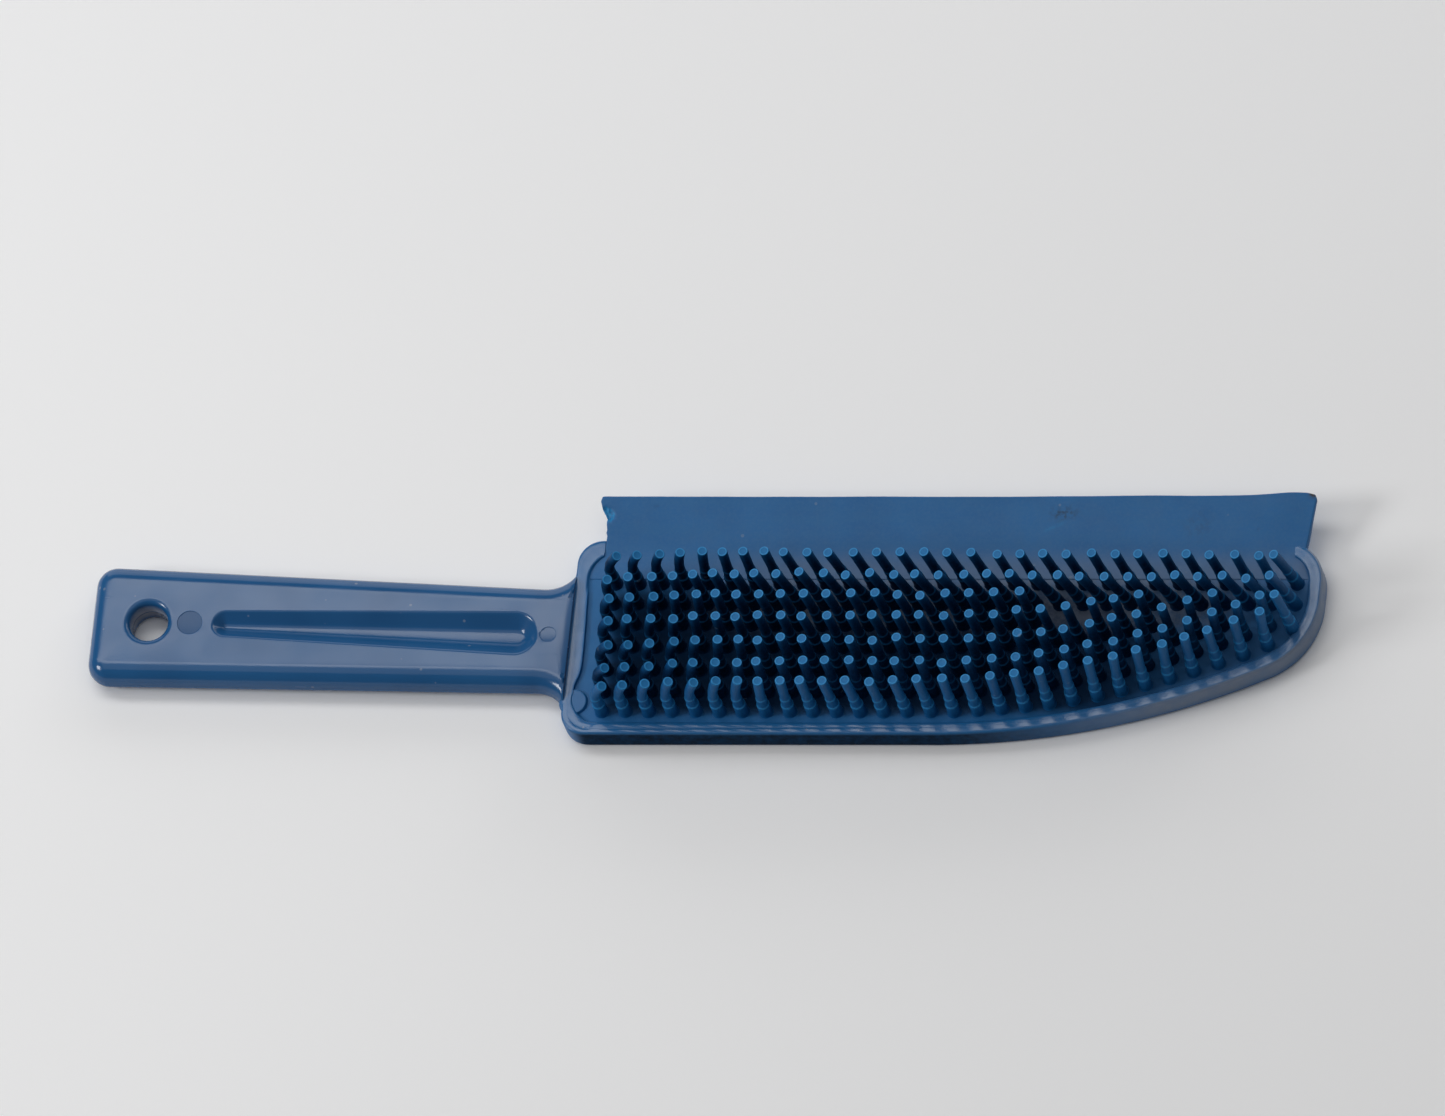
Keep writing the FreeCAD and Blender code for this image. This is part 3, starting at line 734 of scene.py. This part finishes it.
def blade_section():
    """The blade's section as (y, top, underside), from its foot in the pad to its free edge."""
    edge_y = RAMP_START + RAMP_WIDTH + BLADE_REACH * math.cos(BLADE_TILT)
    edge_top = ramp_level(edge_y)
    edge_low = edge_top - BLADE_EDGE_THICKNESS
    section = [(44.55, 5.9, 4.9), (44.62, 6.05, 4.9), (44.75, 6.14, 4.9)]
    stations = [RAMP_START + 0.45 * i for i in range(23)]
    stations += [HEAD_WIDTH + (edge_y - 0.5 - HEAD_WIDTH) * i / 26 for i in range(1, 27)]
    for y in stations:
        top = ramp_level(y) + 0.14 * (1 - ease(45, 52, y))
        low = BLADE_SEAT
        if y > HEAD_WIDTH:
            share = (y - HEAD_WIDTH) / (edge_y - HEAD_WIDTH)
            low = mix(BLADE_SEAT, edge_low, share ** 0.9)
        section.append((y, top, low))
    for back, down, up in [(0.24, 0.02, 0.03), (0.08, 0.10, 0.12), (0.0, 0.26, 0.26)]:
        section.append((edge_y - back, edge_top - down, edge_low + up))
    return section


def blade_columns():
    """Distances along the blade from its torn end, closest together where its ends are rounded."""
    columns = [0.0, 0.07, 0.18, BLADE_END_RADIUS]
    columns += [0.6 + 0.3 * i for i in range(24)]
    start, end = columns[-1], BLADE_SPAN - 6.0
    columns += [start + (end - start) * i / 240 for i in range(1, 241)]
    columns += [end + (BLADE_SPAN - BLADE_END_RADIUS - end) * i / 16 for i in range(1, 17)]
    return columns + [BLADE_SPAN - 0.18, BLADE_SPAN - 0.07, BLADE_SPAN]


def blade_x(d, y):
    """Where a column lies along X: the ends keep their own shapes, and the middle is stretched."""
    left, right = blade_left(y), blade_right(y)
    if d < BLADE_END_REACH:
        return left + d
    if d > BLADE_SPAN - BLADE_END_REACH:
        return right - (BLADE_SPAN - d)
    share = (d - BLADE_END_REACH) / (BLADE_SPAN - 2 * BLADE_END_REACH)
    return mix(left + BLADE_END_REACH, right - BLADE_END_REACH, share)


def end_rounding(d):
    """How far each face comes in at a distance from one of the blade's ends."""
    r = BLADE_END_RADIUS
    return 0.0 if d >= r else 0.6 * (r - math.sqrt(max(0.0, r * r - (r - d) ** 2)))


def blade_bend(x, y):
    """How far use has bent the blade's free part upwards, and moved it along Y."""
    free = ease(54, 66.5, y)
    lift = free * (0.28 * wobble(x * 0.021, 1.7) + 0.07 * wobble(x * 0.11, 4.2))
    lift += free * 0.95 * math.exp(-((x - 187.0) / 10.0) ** 2)
    waves = 0.07 * wobble(x * 0.07, 9.0) + 0.03 * wobble(x * 0.6, 2.0)
    stretch = free * (0.30 * ease(105, 150, x) + waves)
    stretch += free * 0.42 * math.exp(-((x - 187.5) / 7.0) ** 2)
    stretch -= free * 0.35 * ease(190.5, 193.5, x)
    return lift, stretch


def chip(x, y):
    """How deep the torn chip near the left end is, from 0 to 1."""
    if y <= 57:
        return 0.0
    reach = 1.0 - math.hypot((x - CHIP_CENTRE[0]) / 3.0, (y - CHIP_CENTRE[1]) / 2.2)
    ragged = 0.35 * wobble(x * 1.3, y * 1.3, 7.0)
    return max(0.0, min(1.0, (reach + ragged * 0.6) * 2.2))


def scratch(x, y):
    """A short fresh scratch that runs slantwise near the blade's middle."""
    away = abs((y - 57.4) - 0.43 * (x - 122.0))
    return 0.35 * math.exp(-(away / 0.45) ** 2) * ease(121.5, 123, x) * (1 - ease(126.5, 128, x))


# Soft spots on the blade: strength, place, and reach along X and along Y.
STAINS = [
    (1.0, (127.0, 62.0), (3.2, 1.6)),
    (0.3, (162.5, 59.0), (3.2, 3.4)),
    (1.6, (6.2, 62.7), (0.45, 0.7)),
    (0.35, (20.0, 63.8), (0.7, 0.5)),
    (0.4, (178.0, 57.9), (0.7, 0.5)),
]
EARTH = [(1.8, (192.3, 66.2), (0.9, 0.9))]


def spots(places, x, y):
    total = 0.0
    for strength, centre, reach in places:
        off_x, off_y = (x - centre[0]) / reach[0], (y - centre[1]) / reach[1]
        total += strength * math.exp(-off_x ** 2 - off_y ** 2)
    return total


def make_blade(material):
    """The blade: a ramp that sweeps up from the pad's floor, and a thin flap beyond the pad."""
    shell = Shell()
    section = blade_section()
    loops = []
    for d in blade_columns():
        pinch = end_rounding(min(d, BLADE_SPAN - d))
        tops, lows = [], []
        for y, top, low in section:
            x = blade_x(d, y)
            lift, stretch = blade_bend(x, y)
            torn = chip(x, y)
            drop = torn * (top - low) * 0.55 * (0.8 + 0.5 * wobble(x * 2.1, y * 2.1, 1.0))
            fresh = ease(0.05, 0.5, torn) + scratch(x, y)
            earth = spots(EARTH, x, y)
            tops.append(shell.add((x, y + stretch, top + lift - pinch - drop),
                                  fresh=fresh, stain=spots(STAINS, x, y), earth=earth))
            lows.append(shell.add((x, y + stretch, low + lift + pinch),
                                  fresh=0.3 * fresh, stain=0.0, earth=earth))
        loops.append((tops, lows))
    for (tops_a, lows_a), (tops_b, lows_b) in zip(loops, loops[1:]):
        shell.join(tops_a + lows_a[::-1], tops_b + lows_b[::-1])
    for tops, lows in (loops[0], loops[-1]):
        for j in range(len(section) - 1):
            shell.faces.append((tops[j], tops[j + 1], lows[j + 1], lows[j]))
    return shell.build("rubber_blade", material, sharp=55)


# ---- the pins ----

# Use has combed the tips sideways. Each row gives its distance from the near edge, how closely it
# follows the belly, its number of pins, and how far its tips lean along X: beside the handle, the
# pin that lean holds to, from the shoulder on, beside the nose, and what the last pin adds. The
# last two are the lean along Y beside the handle and the nose.
PinRow = namedtuple("PinRow", [
    "across", "follow", "count", "handle_lean", "held_to", "middle_lean", "nose_lean",
    "last_push", "handle_lean_y", "nose_lean_y"])
PIN_ROWS = {
    "pin_row_1": PinRow(43.4, 0.00, 30, 3.0, 2, -2.0, -1.0, -1.5, -0.5, -0.5),
    "pin_row_2": PinRow(37.5, 0.00, 30, 1.5, 2, -3.5, -3.5, 0.0, -2.0, -1.0),
    "pin_row_3": PinRow(31.6, 0.50, 19, 2.5, 2, -1.5, 0.0, 0.0, -1.5, 0.0),
    "pin_row_4": PinRow(25.2, 0.78, 24, 2.5, 2, -1.0, 0.0, 0.0, -1.5, 0.5),
    "pin_row_5": PinRow(18.6, 0.92, 27, 3.5, 2, -0.5, 0.5, 0.0, -1.5, 0.5),
    "pin_row_6": PinRow(12.4, 1.00, 29, 3.5, 3, 0.0, 1.0, 0.0, -2.0, 0.0),
    "pin_row_7": PinRow(6.9, 1.00, 30, 3.0, 6, 0.0, 1.0, -3.0, -1.5, 1.0),
}
LAST_FRONT_PIN_SHIFT = 1.6
SHOULDER_PIN = 10.5
FIRST_PIN_PUSH = 1.0
LEAN_SPREAD = 0.25
BASE_SPREAD = 0.04
SIZE_SPREAD = 0.008
FRONT_SHADE = 0.05
INNER_SHADE = 0.92


def pin_lean(row, k):
    """How far the tip of a row's pin number k has been bent, along X and along Y."""
    past_handle = ease(row.held_to, SHOULDER_PIN, k)
    near_nose = ease(12, 26, k)
    lean_x = mix(mix(row.handle_lean, row.middle_lean, past_handle), row.nose_lean, near_nose)
    lean_y = mix(row.handle_lean_y, 0.0, ease(0, 7, k)) + row.nose_lean_y * near_nose
    if k == 1:
        lean_x += FIRST_PIN_PUSH
    if k == row.count:
        lean_x += row.last_push
    return lean_x, lean_y


# A pin's section: share of its height, radius, and how much painted highlight its ledges get there.
PIN_PROFILE = [
    (-0.01, 2.1, 0.0), (0.0, 1.95, 0.0), (0.015, 1.82, 0.0), (0.045, 1.74, 0.0), (0.15, 1.71, 0.0),
    (0.240, 1.695, 0.0), (0.247, 1.695, 0.6), (0.262, 1.67, 1.0), (0.268, 1.52, 1.0),
    (0.275, 1.44, 0.3), (0.288, 1.43, 0.0), (0.40, 1.425, 0.0), (0.440, 1.42, 0.0),
    (0.447, 1.42, 0.6), (0.462, 1.395, 1.0), (0.468, 1.31, 1.0), (0.475, 1.275, 0.3),
    (0.488, 1.27, 0.0), (0.65, 1.27, 0.0), (0.80, 1.275, 0.0), (0.93, 1.295, 0.0),
    (0.975, 1.315, 0.1), (0.990, 1.30, 0.5), (0.998, 1.25, 1.0),
]
# Its flat end, from the edge inwards: radius, how far it is hollowed, and how bright its skin is.
TIP_PROFILE = [(1.17, 0.0, 1.0), (0.98, 0.0, 0.95), (0.86, 0.035, 0.30), (0.5, 0.05, 0.36)]
PIN_SIDES = 24
SPINE_STEPS = 40


def add_pin(shell, base, lean, size, bend_from, shade, rng):
    """One stepped, flat-topped pin that bends from a share of its height upwards."""
    spin = rng.uniform(0, 2 * math.pi)
    tone = rng.random()
    length = math.hypot(*lean)
    heading = (lean[0] / length, lean[1] / length) if length > 1e-6 else (1.0, 0.0)
    power = mix(1.1, 1.6, ease(0.5, 2.0, lean[0]))
    spine = [(0.0, 0.0)]
    angles = []
    rise = PIN_HEIGHT / SPINE_STEPS
    for i in range(SPINE_STEPS):
        t = (i + 0.5) / SPINE_STEPS
        run = max(0.0, (t - bend_from) / (1 - bend_from))
        slope = power * run ** (power - 1) * length / (PIN_HEIGHT * (1 - bend_from))
        angles.append(math.atan(slope))
        out, up = spine[-1]
        spine.append((out + rise * math.sin(angles[-1]), up + rise * math.cos(angles[-1])))

    def at(t):
        """The spine's centre at a share of the height, and two directions across it."""
        place = min(max(t, 0.0), 1.0) * SPINE_STEPS
        i = min(SPINE_STEPS - 1, int(place))
        out, up = mix2(spine[i], spine[i + 1], place - i)
        if t < 0:
            up += t * PIN_HEIGHT
        across, upright = math.sin(angles[i]), math.cos(angles[i])
        centre = Vector((base[0] + heading[0] * out, base[1] + heading[1] * out, base[2] + up))
        axis = Vector((heading[0] * across, heading[1] * across, upright))
        side = Vector((-heading[1], heading[0], 0.0))
        return centre, side, side.cross(axis)

    def circle(t, radius, down=0.0, **values):
        centre, side, front = at(t)
        axis = front.cross(side)
        points = []
        for i in range(PIN_SIDES):
            a = spin + 2 * math.pi * i / PIN_SIDES
            spoke = math.cos(a) * side + math.sin(a) * front
            points.append(tuple(centre + radius * size * spoke - down * axis))
        return shell.ring(points, tone=tone, **values)

    rings = []
    # The ledges get a painted highlight, fainter on the shaded inner rows, and the shafts get
    # painted shade, lighter near the tip.
    for t, radius, ledge_highlight in PIN_PROFILE:
        low = shade * (1 - 0.55 * ease(0.70, 1.0, t))
        rings.append(circle(t, radius, step=(0.85 - 0.6 * shade) * ledge_highlight, low=low))
    for radius, down, bright in TIP_PROFILE:
        rings.append(circle(1.0, radius, down=down, tip=bright))
    for lower, upper in zip(rings, rings[1:]):
        shell.join(lower, upper)
    shell.faces.append(tuple(rings[-1]))


def make_pin_row(row, material, rng):
    spec = PIN_ROWS[row]
    shell = Shell()
    for k in range(spec.count):
        x = PIN_FIRST + k * PIN_PITCH
        y = spec.across + spec.follow * belly_rise(x)
        if row == "pin_row_7" and k == spec.count - 1:
            y += LAST_FRONT_PIN_SHIFT
        lean_x, lean_y = pin_lean(spec, k + 1)
        lean = (lean_x + rng.gauss(0, LEAN_SPREAD), lean_y + rng.gauss(0, LEAN_SPREAD))
        bend_from = mix(0.05, 0.45, ease(1.2, 2.6, lean_x))
        floor = ramp_level(y) + 0.02 if y > RAMP_START else FLOOR_LEVEL
        base = (x + rng.gauss(0, BASE_SPREAD), y + rng.gauss(0, BASE_SPREAD), floor)
        shade = INNER_SHADE * (1 - 0.5 * ease(168, 186, x))
        if row == "pin_row_7":
            shade = FRONT_SHADE
        add_pin(shell, base, lean, 1.0 + rng.gauss(0, SIZE_SPREAD), bend_from, shade, rng)
    return shell.build(row.replace("pin_row", "pins"), material, sharp=60)


# ---- the handle ----


def grip_point(u, v, z):
    """From the grip's own axis to the head's coordinates."""
    return (u, GRIP_ACROSS - u * math.tan(GRIP_YAW) + v, z)


def grip_half_outline(inset):
    """The near half of the grip's outline moved inwards, from its mouth to mid-end."""
    side_length = GRIP_LENGTH - NECK_START - GRIP_CORNER
    taper = math.atan2(GRIP_HALF_END - GRIP_HALF_NECK, side_length)
    flare_centre = (-NECK_START, -GRIP_HALF_NECK - NECK_RADIUS)
    flare_radius = NECK_RADIUS + inset
    start = math.acos(NECK_START / flare_radius)
    flare = [start + (math.pi / 2 + taper - start) * i / 16 for i in range(17)]
    points = circle_points(flare_centre, flare_radius, flare)
    points.insert(0, (MOUTH_OVERLAP, points[0][1]))
    corner_centre = (GRIP_CORNER - GRIP_LENGTH, GRIP_CORNER - GRIP_HALF_END)
    corner = [1.5 * math.pi + taper - (math.pi / 2 + taper) * i / 12 for i in range(13)]
    bend = circle_points(corner_centre, GRIP_CORNER - inset, corner)
    side = [mix2(points[-1], bend[0], i / 60) for i in range(1, 60)]
    end = [mix2(bend[-1], (inset - GRIP_LENGTH, 0.0), i / 8) for i in range(1, 9)]
    return points + side + bend + end


def grip_loop(inset):
    """The whole outline from the mouth's near corner round the end to its far corner."""
    near = grip_half_outline(inset)
    far = [(u, -v) for u, v in reversed(near[:-1])]
    return near + far


def slot_loop(x1, r1, x2, r2):
    """A tapered slot with round ends, as a closed loop."""
    lean = math.asin((r2 - r1) / (x2 - x1))
    near, far = 1.5 * math.pi + lean, 0.5 * math.pi - lean
    left = [far + (near - far) * i / 20 for i in range(21)]
    right = [near - 2 * math.pi + (far - near + 2 * math.pi) * i / 24 for i in range(25)]
    left_points = circle_points((x1, 0.0), r1, left)
    right_points = circle_points((x2, 0.0), r2, right)
    near_side = [mix2(left_points[-1], right_points[0], i / 40) for i in range(1, 40)]
    far_side = [mix2(right_points[-1], left_points[0], i / 40) for i in range(1, 40)]
    return left_points + near_side + right_points + far_side


def fill_flat(shell, outer, holes):
    """Covers the flat face between an outer ring of points and the rings of its holes."""
    loops = [outer] + holes
    indices = [i for loop in loops for i in loop]
    flat = [Vector(shell.points[i][:2]) for i in indices]
    edges, start = [], 0
    for loop in loops:
        edges += [(start + i, start + (i + 1) % len(loop)) for i in range(len(loop))]
        start += len(loop)
    found = geometry.delaunay_2d_cdt(flat, edges, [], 1, 1e-6)
    places, faces, original = found[0], found[2], found[3]
    hole_shapes = [[shell.points[i][:2] for i in loop] for loop in holes]
    for face in faces:
        middle = sum((places[i] for i in face), Vector((0, 0))) / len(face)
        if any(inside(hole, middle) for hole in hole_shapes):
            continue
        shell.faces.append(tuple(indices[original[i][0]] for i in face))


def inside(shape, point):
    """Whether a point lies within a closed line."""
    x, y = point[0], point[1]
    crossed = False
    for (x0, y0), (x1, y1) in zip(shape, shape[1:] + shape[:1]):
        if (y0 > y) != (y1 > y) and x < x0 + (y - y0) / (y1 - y0) * (x1 - x0):
            crossed = not crossed
    return crossed


def grip_profile():
    """The rounded sides as (inset, height): from the flat top over a parting line to the back."""
    turns = 12
    middle = GRIP_THICKNESS / 2
    rounding = GRIP_THICKNESS - GRIP_EDGE
    profile = [(GRIP_EDGE + 1.1, GRIP_THICKNESS - 0.035), (GRIP_EDGE + 0.35, GRIP_THICKNESS)]
    for i in range(turns + 1):
        a = math.pi / 2 * (1 - i / turns)
        profile.append((GRIP_EDGE * (1 - math.cos(a)), rounding + GRIP_EDGE * math.sin(a)))
    profile += [(0.0, middle + 0.10), (-0.05, middle + 0.03), (-0.05, middle - 0.03),
                (0.0, middle - 0.10)]
    for i in range(turns + 1):
        a = math.pi / 2 * i / turns
        profile.append((GRIP_EDGE * (1 - math.cos(a)), GRIP_EDGE - GRIP_EDGE * math.sin(a)))
    return profile + [(GRIP_EDGE + 0.25, 0.0)]


def hole_profile():
    """The hang hole as (radius, height): rounded at both faces, with a fine line half way."""
    turns = 8
    middle = GRIP_THICKNESS / 2
    wide = HOLE_RADIUS + HOLE_ROUNDING
    rounding = GRIP_THICKNESS - HOLE_ROUNDING
    profile = [(wide + 0.25, GRIP_THICKNESS)]
    for i in range(turns + 1):
        a = math.pi / 2 * (1 - i / turns)
        profile.append((wide - HOLE_ROUNDING * math.cos(a), rounding + HOLE_ROUNDING * math.sin(a)))
    profile += [(HOLE_RADIUS, middle + 0.25), (HOLE_RADIUS - 0.12, middle),
                (HOLE_RADIUS, middle - 0.25)]
    for i in range(turns + 1):
        a = math.pi / 2 * i / turns
        inset = HOLE_ROUNDING * math.cos(a)
        profile.append((wide - inset, HOLE_ROUNDING - HOLE_ROUNDING * math.sin(a)))
    return profile + [(wide + 0.25, 0.0)]


# The flute's slope: share of the way in to the floor's outline, and share of the depth there.
FLUTE_PROFILE = [
    (-0.09, 0.0), (-0.05, 0.003), (0.0, 0.016), (0.07, 0.05), (0.14, 0.11), (0.25, 0.23),
    (0.4, 0.395), (0.6, 0.615), (0.74, 0.765), (0.85, 0.872), (0.93, 0.930), (1.0, 0.968),
    (1.08, 0.990), (1.18, 1.0),
]
# An ejector mark's edge: distance outside its radius, and height above the grip's top.
MARK_PROFILE = [(0.14, 0.0), (0.06, 0.0), (0.0, -0.03), (-0.06, -0.12), (-0.25, -0.14)]


def make_handle(material):
    """The grip with its hang hole, flute and two ejector marks. Its neck ends in the head."""
    shell = Shell()

    def loop_ring(loop, z, **values):
        def level(u):
            top = z(u) if callable(z) else z
            return min(top, GRIP_THICKNESS - 0.4) if u > 0 else top

        return shell.ring([grip_point(u, v, level(u)) for u, v in loop], **values)

    def strip(rings, closed=True):
        for a, b in zip(rings, rings[1:]):
            shell.join(a, b, closed)

    side_rings = [loop_ring(grip_loop(inset), z, film=1 - ease(2.5, 7.5, z))
                  for inset, z in grip_profile()]
    strip(side_rings, closed=False)
    mouth = [r[0] for r in side_rings] + [r[-1] for r in reversed(side_rings)]
    shell.faces.append(tuple(mouth))

    hole = (HOLE_FROM_END - GRIP_LENGTH, 0.0)
    # the straight part of the hole's wall carries the painted reflection
    hole_rings = [loop_ring(round_loop(hole, r), z, liner=1.0 if r == HOLE_RADIUS else 0.0)
                  for r, z in hole_profile()]
    strip(hole_rings)

    # the flute: sloping sides down to a narrow floor that falls towards the head
    x1 = FLUTE_FROM_END + FLUTE_RADII[0] - GRIP_LENGTH
    x2 = FLUTE_FROM_END + FLUTE_LENGTH - FLUTE_RADII[1] - GRIP_LENGTH

    def flute_level(down, crown):
        def level(u):
            depth = mix(FLUTE_DEPTHS[0], FLUTE_DEPTHS[1], (u - x1) / (x2 - x1))
            return GRIP_THICKNESS + crown - down * depth

        return level

    flute_rings = []
    for across, down in FLUTE_PROFILE:
        r1, r2 = mix2(FLUTE_RADII, FLUTE_FLOOR_RADII, across)
        loop = slot_loop(x1, max(r1, 0.1), x2, r2)
        flute_rings.append(loop_ring(loop, flute_level(down, GRIP_CROWN * (1 - down))))
    strip(flute_rings)
    shell.faces.append(tuple(flute_rings[-1]))

    marks = []
    for from_end, radius, wear in EJECTOR_MARKS:
        centre = (from_end - GRIP_LENGTH, 0.0)
        rings = [loop_ring(round_loop(centre, radius + out, 48), GRIP_THICKNESS + up,
                           mark=wear if out < 0 else 0.0)
                 for out, up in MARK_PROFILE]
        strip(rings)
        shell.faces.append(tuple(rings[-1]))
        marks.append(rings[0])

    fill_flat(shell, side_rings[0], [hole_rings[0], flute_rings[0]] + marks)
    fill_flat(shell, side_rings[-1], [hole_rings[-1]])
    return shell.build("handle_grip", material, sharp=50)


# ---- the scene ----


# The view: its own right and backward directions in the row frame, the place it is centred on in
# the head's millimetres, and its distance in metres. The long lens makes it nearly parallel.
VIEW_RIGHT = (0.975, 0.0986, -0.199)
VIEW_BACK = (0.222, -0.432, 0.874)
VIEW_CENTRE = (36.36, 53.75, 0)
VIEW_DISTANCE = 11.85
VIEW_LENS = 1149.8
SENSOR_WIDTH = 36.0
FAR_CLIP = 40.0

FLOOR_SIZE = 6.0
FLOOR_DROP = 0.0002
SKY_STRENGTH = 0.14

# Each light: its direction from the brush, distance, width and height in metres, and radiance.
LIGHTS = {
    "key": ((-0.40, 0.340, 0.85), 1.3, 1.30, 0.33, 3.0),
    "back": ((0.0, 1.0, 0.32), 1.6, 2.6, 1.0, 1.0),
    "left": ((-0.78, -0.24, 0.57), 1.5, 0.42, 0.42, 13.0),
    "right": ((0.60, 0.70, 0.40), 1.5, 0.5, 0.5, 2.0),
    "overhead": ((0.0, 0.0, 1.0), 1.4, 1.8, 1.4, 0.6),
}


def make_floor(material):
    bpy.ops.mesh.primitive_plane_add(size=FLOOR_SIZE, location=(0, 0, -FLOOR_DROP))
    floor = bpy.context.object
    floor.name = "floor"
    floor.data.materials.append(material)


def make_camera():
    back = Vector(VIEW_BACK).normalized()
    up = back.cross(Vector(VIEW_RIGHT).normalized()).normalized()
    right = up.cross(back)
    data = bpy.data.cameras.new("camera")
    data.lens = VIEW_LENS
    data.sensor_width = SENSOR_WIDTH
    data.clip_end = FAR_CLIP
    camera = bpy.data.objects.new("camera", data)
    turn = Matrix((right, up, back)).transposed().to_4x4()
    place = to_row(*VIEW_CENTRE) + back * VIEW_DISTANCE
    camera.matrix_world = Matrix.Translation(place) @ turn
    bpy.context.scene.collection.objects.link(camera)
    bpy.context.scene.camera = camera


def soft_light(name, direction, distance, width, height, radiance):
    """A rectangular light that faces the brush from a direction, level along X."""
    data = bpy.data.lights.new(name, "AREA")
    data.shape = "RECTANGLE"
    data.size, data.size_y = width, height
    data.energy = radiance * math.pi * width * height
    light = bpy.data.objects.new(name, data)
    away = Vector(direction).normalized()
    along = (Vector((1, 0, 0)) - away.x * away).normalized()
    turn = Matrix((along, away.cross(along), away)).transposed().to_4x4()
    light.matrix_world = Matrix.Translation(away * distance) @ turn
    bpy.context.scene.collection.objects.link(light)


def make_lights():
    world = bpy.data.worlds.new("studio")
    world.use_nodes = True
    background = world.node_tree.nodes["Background"]
    background.inputs["Color"].default_value = (1.0, 1.0, 1.0, 1.0)
    background.inputs["Strength"].default_value = SKY_STRENGTH
    bpy.context.scene.world = world
    for name, values in LIGHTS.items():
        soft_light(name, *values)


def main():
    rng = random.Random(SEED)
    pieces = [
        (make_handle(handle_material()), "handle", "handle_plastic"),
        (make_pad(pad_material()), "rubber_head", "rubber"),
        (make_blade(blade_material()), "squeegee_blade", "rubber"),
    ]
    pins = pin_material()
    for row in PIN_ROWS:
        pieces.append((make_pin_row(row, pins, rng), row, "pin_rubber"))
    for piece, node, slot in pieces:
        finish_piece(piece, node)
    make_floor(floor_material())
    make_lights()
    make_camera()
    bpy.context.scene.view_settings.view_transform = "Standard"


main()
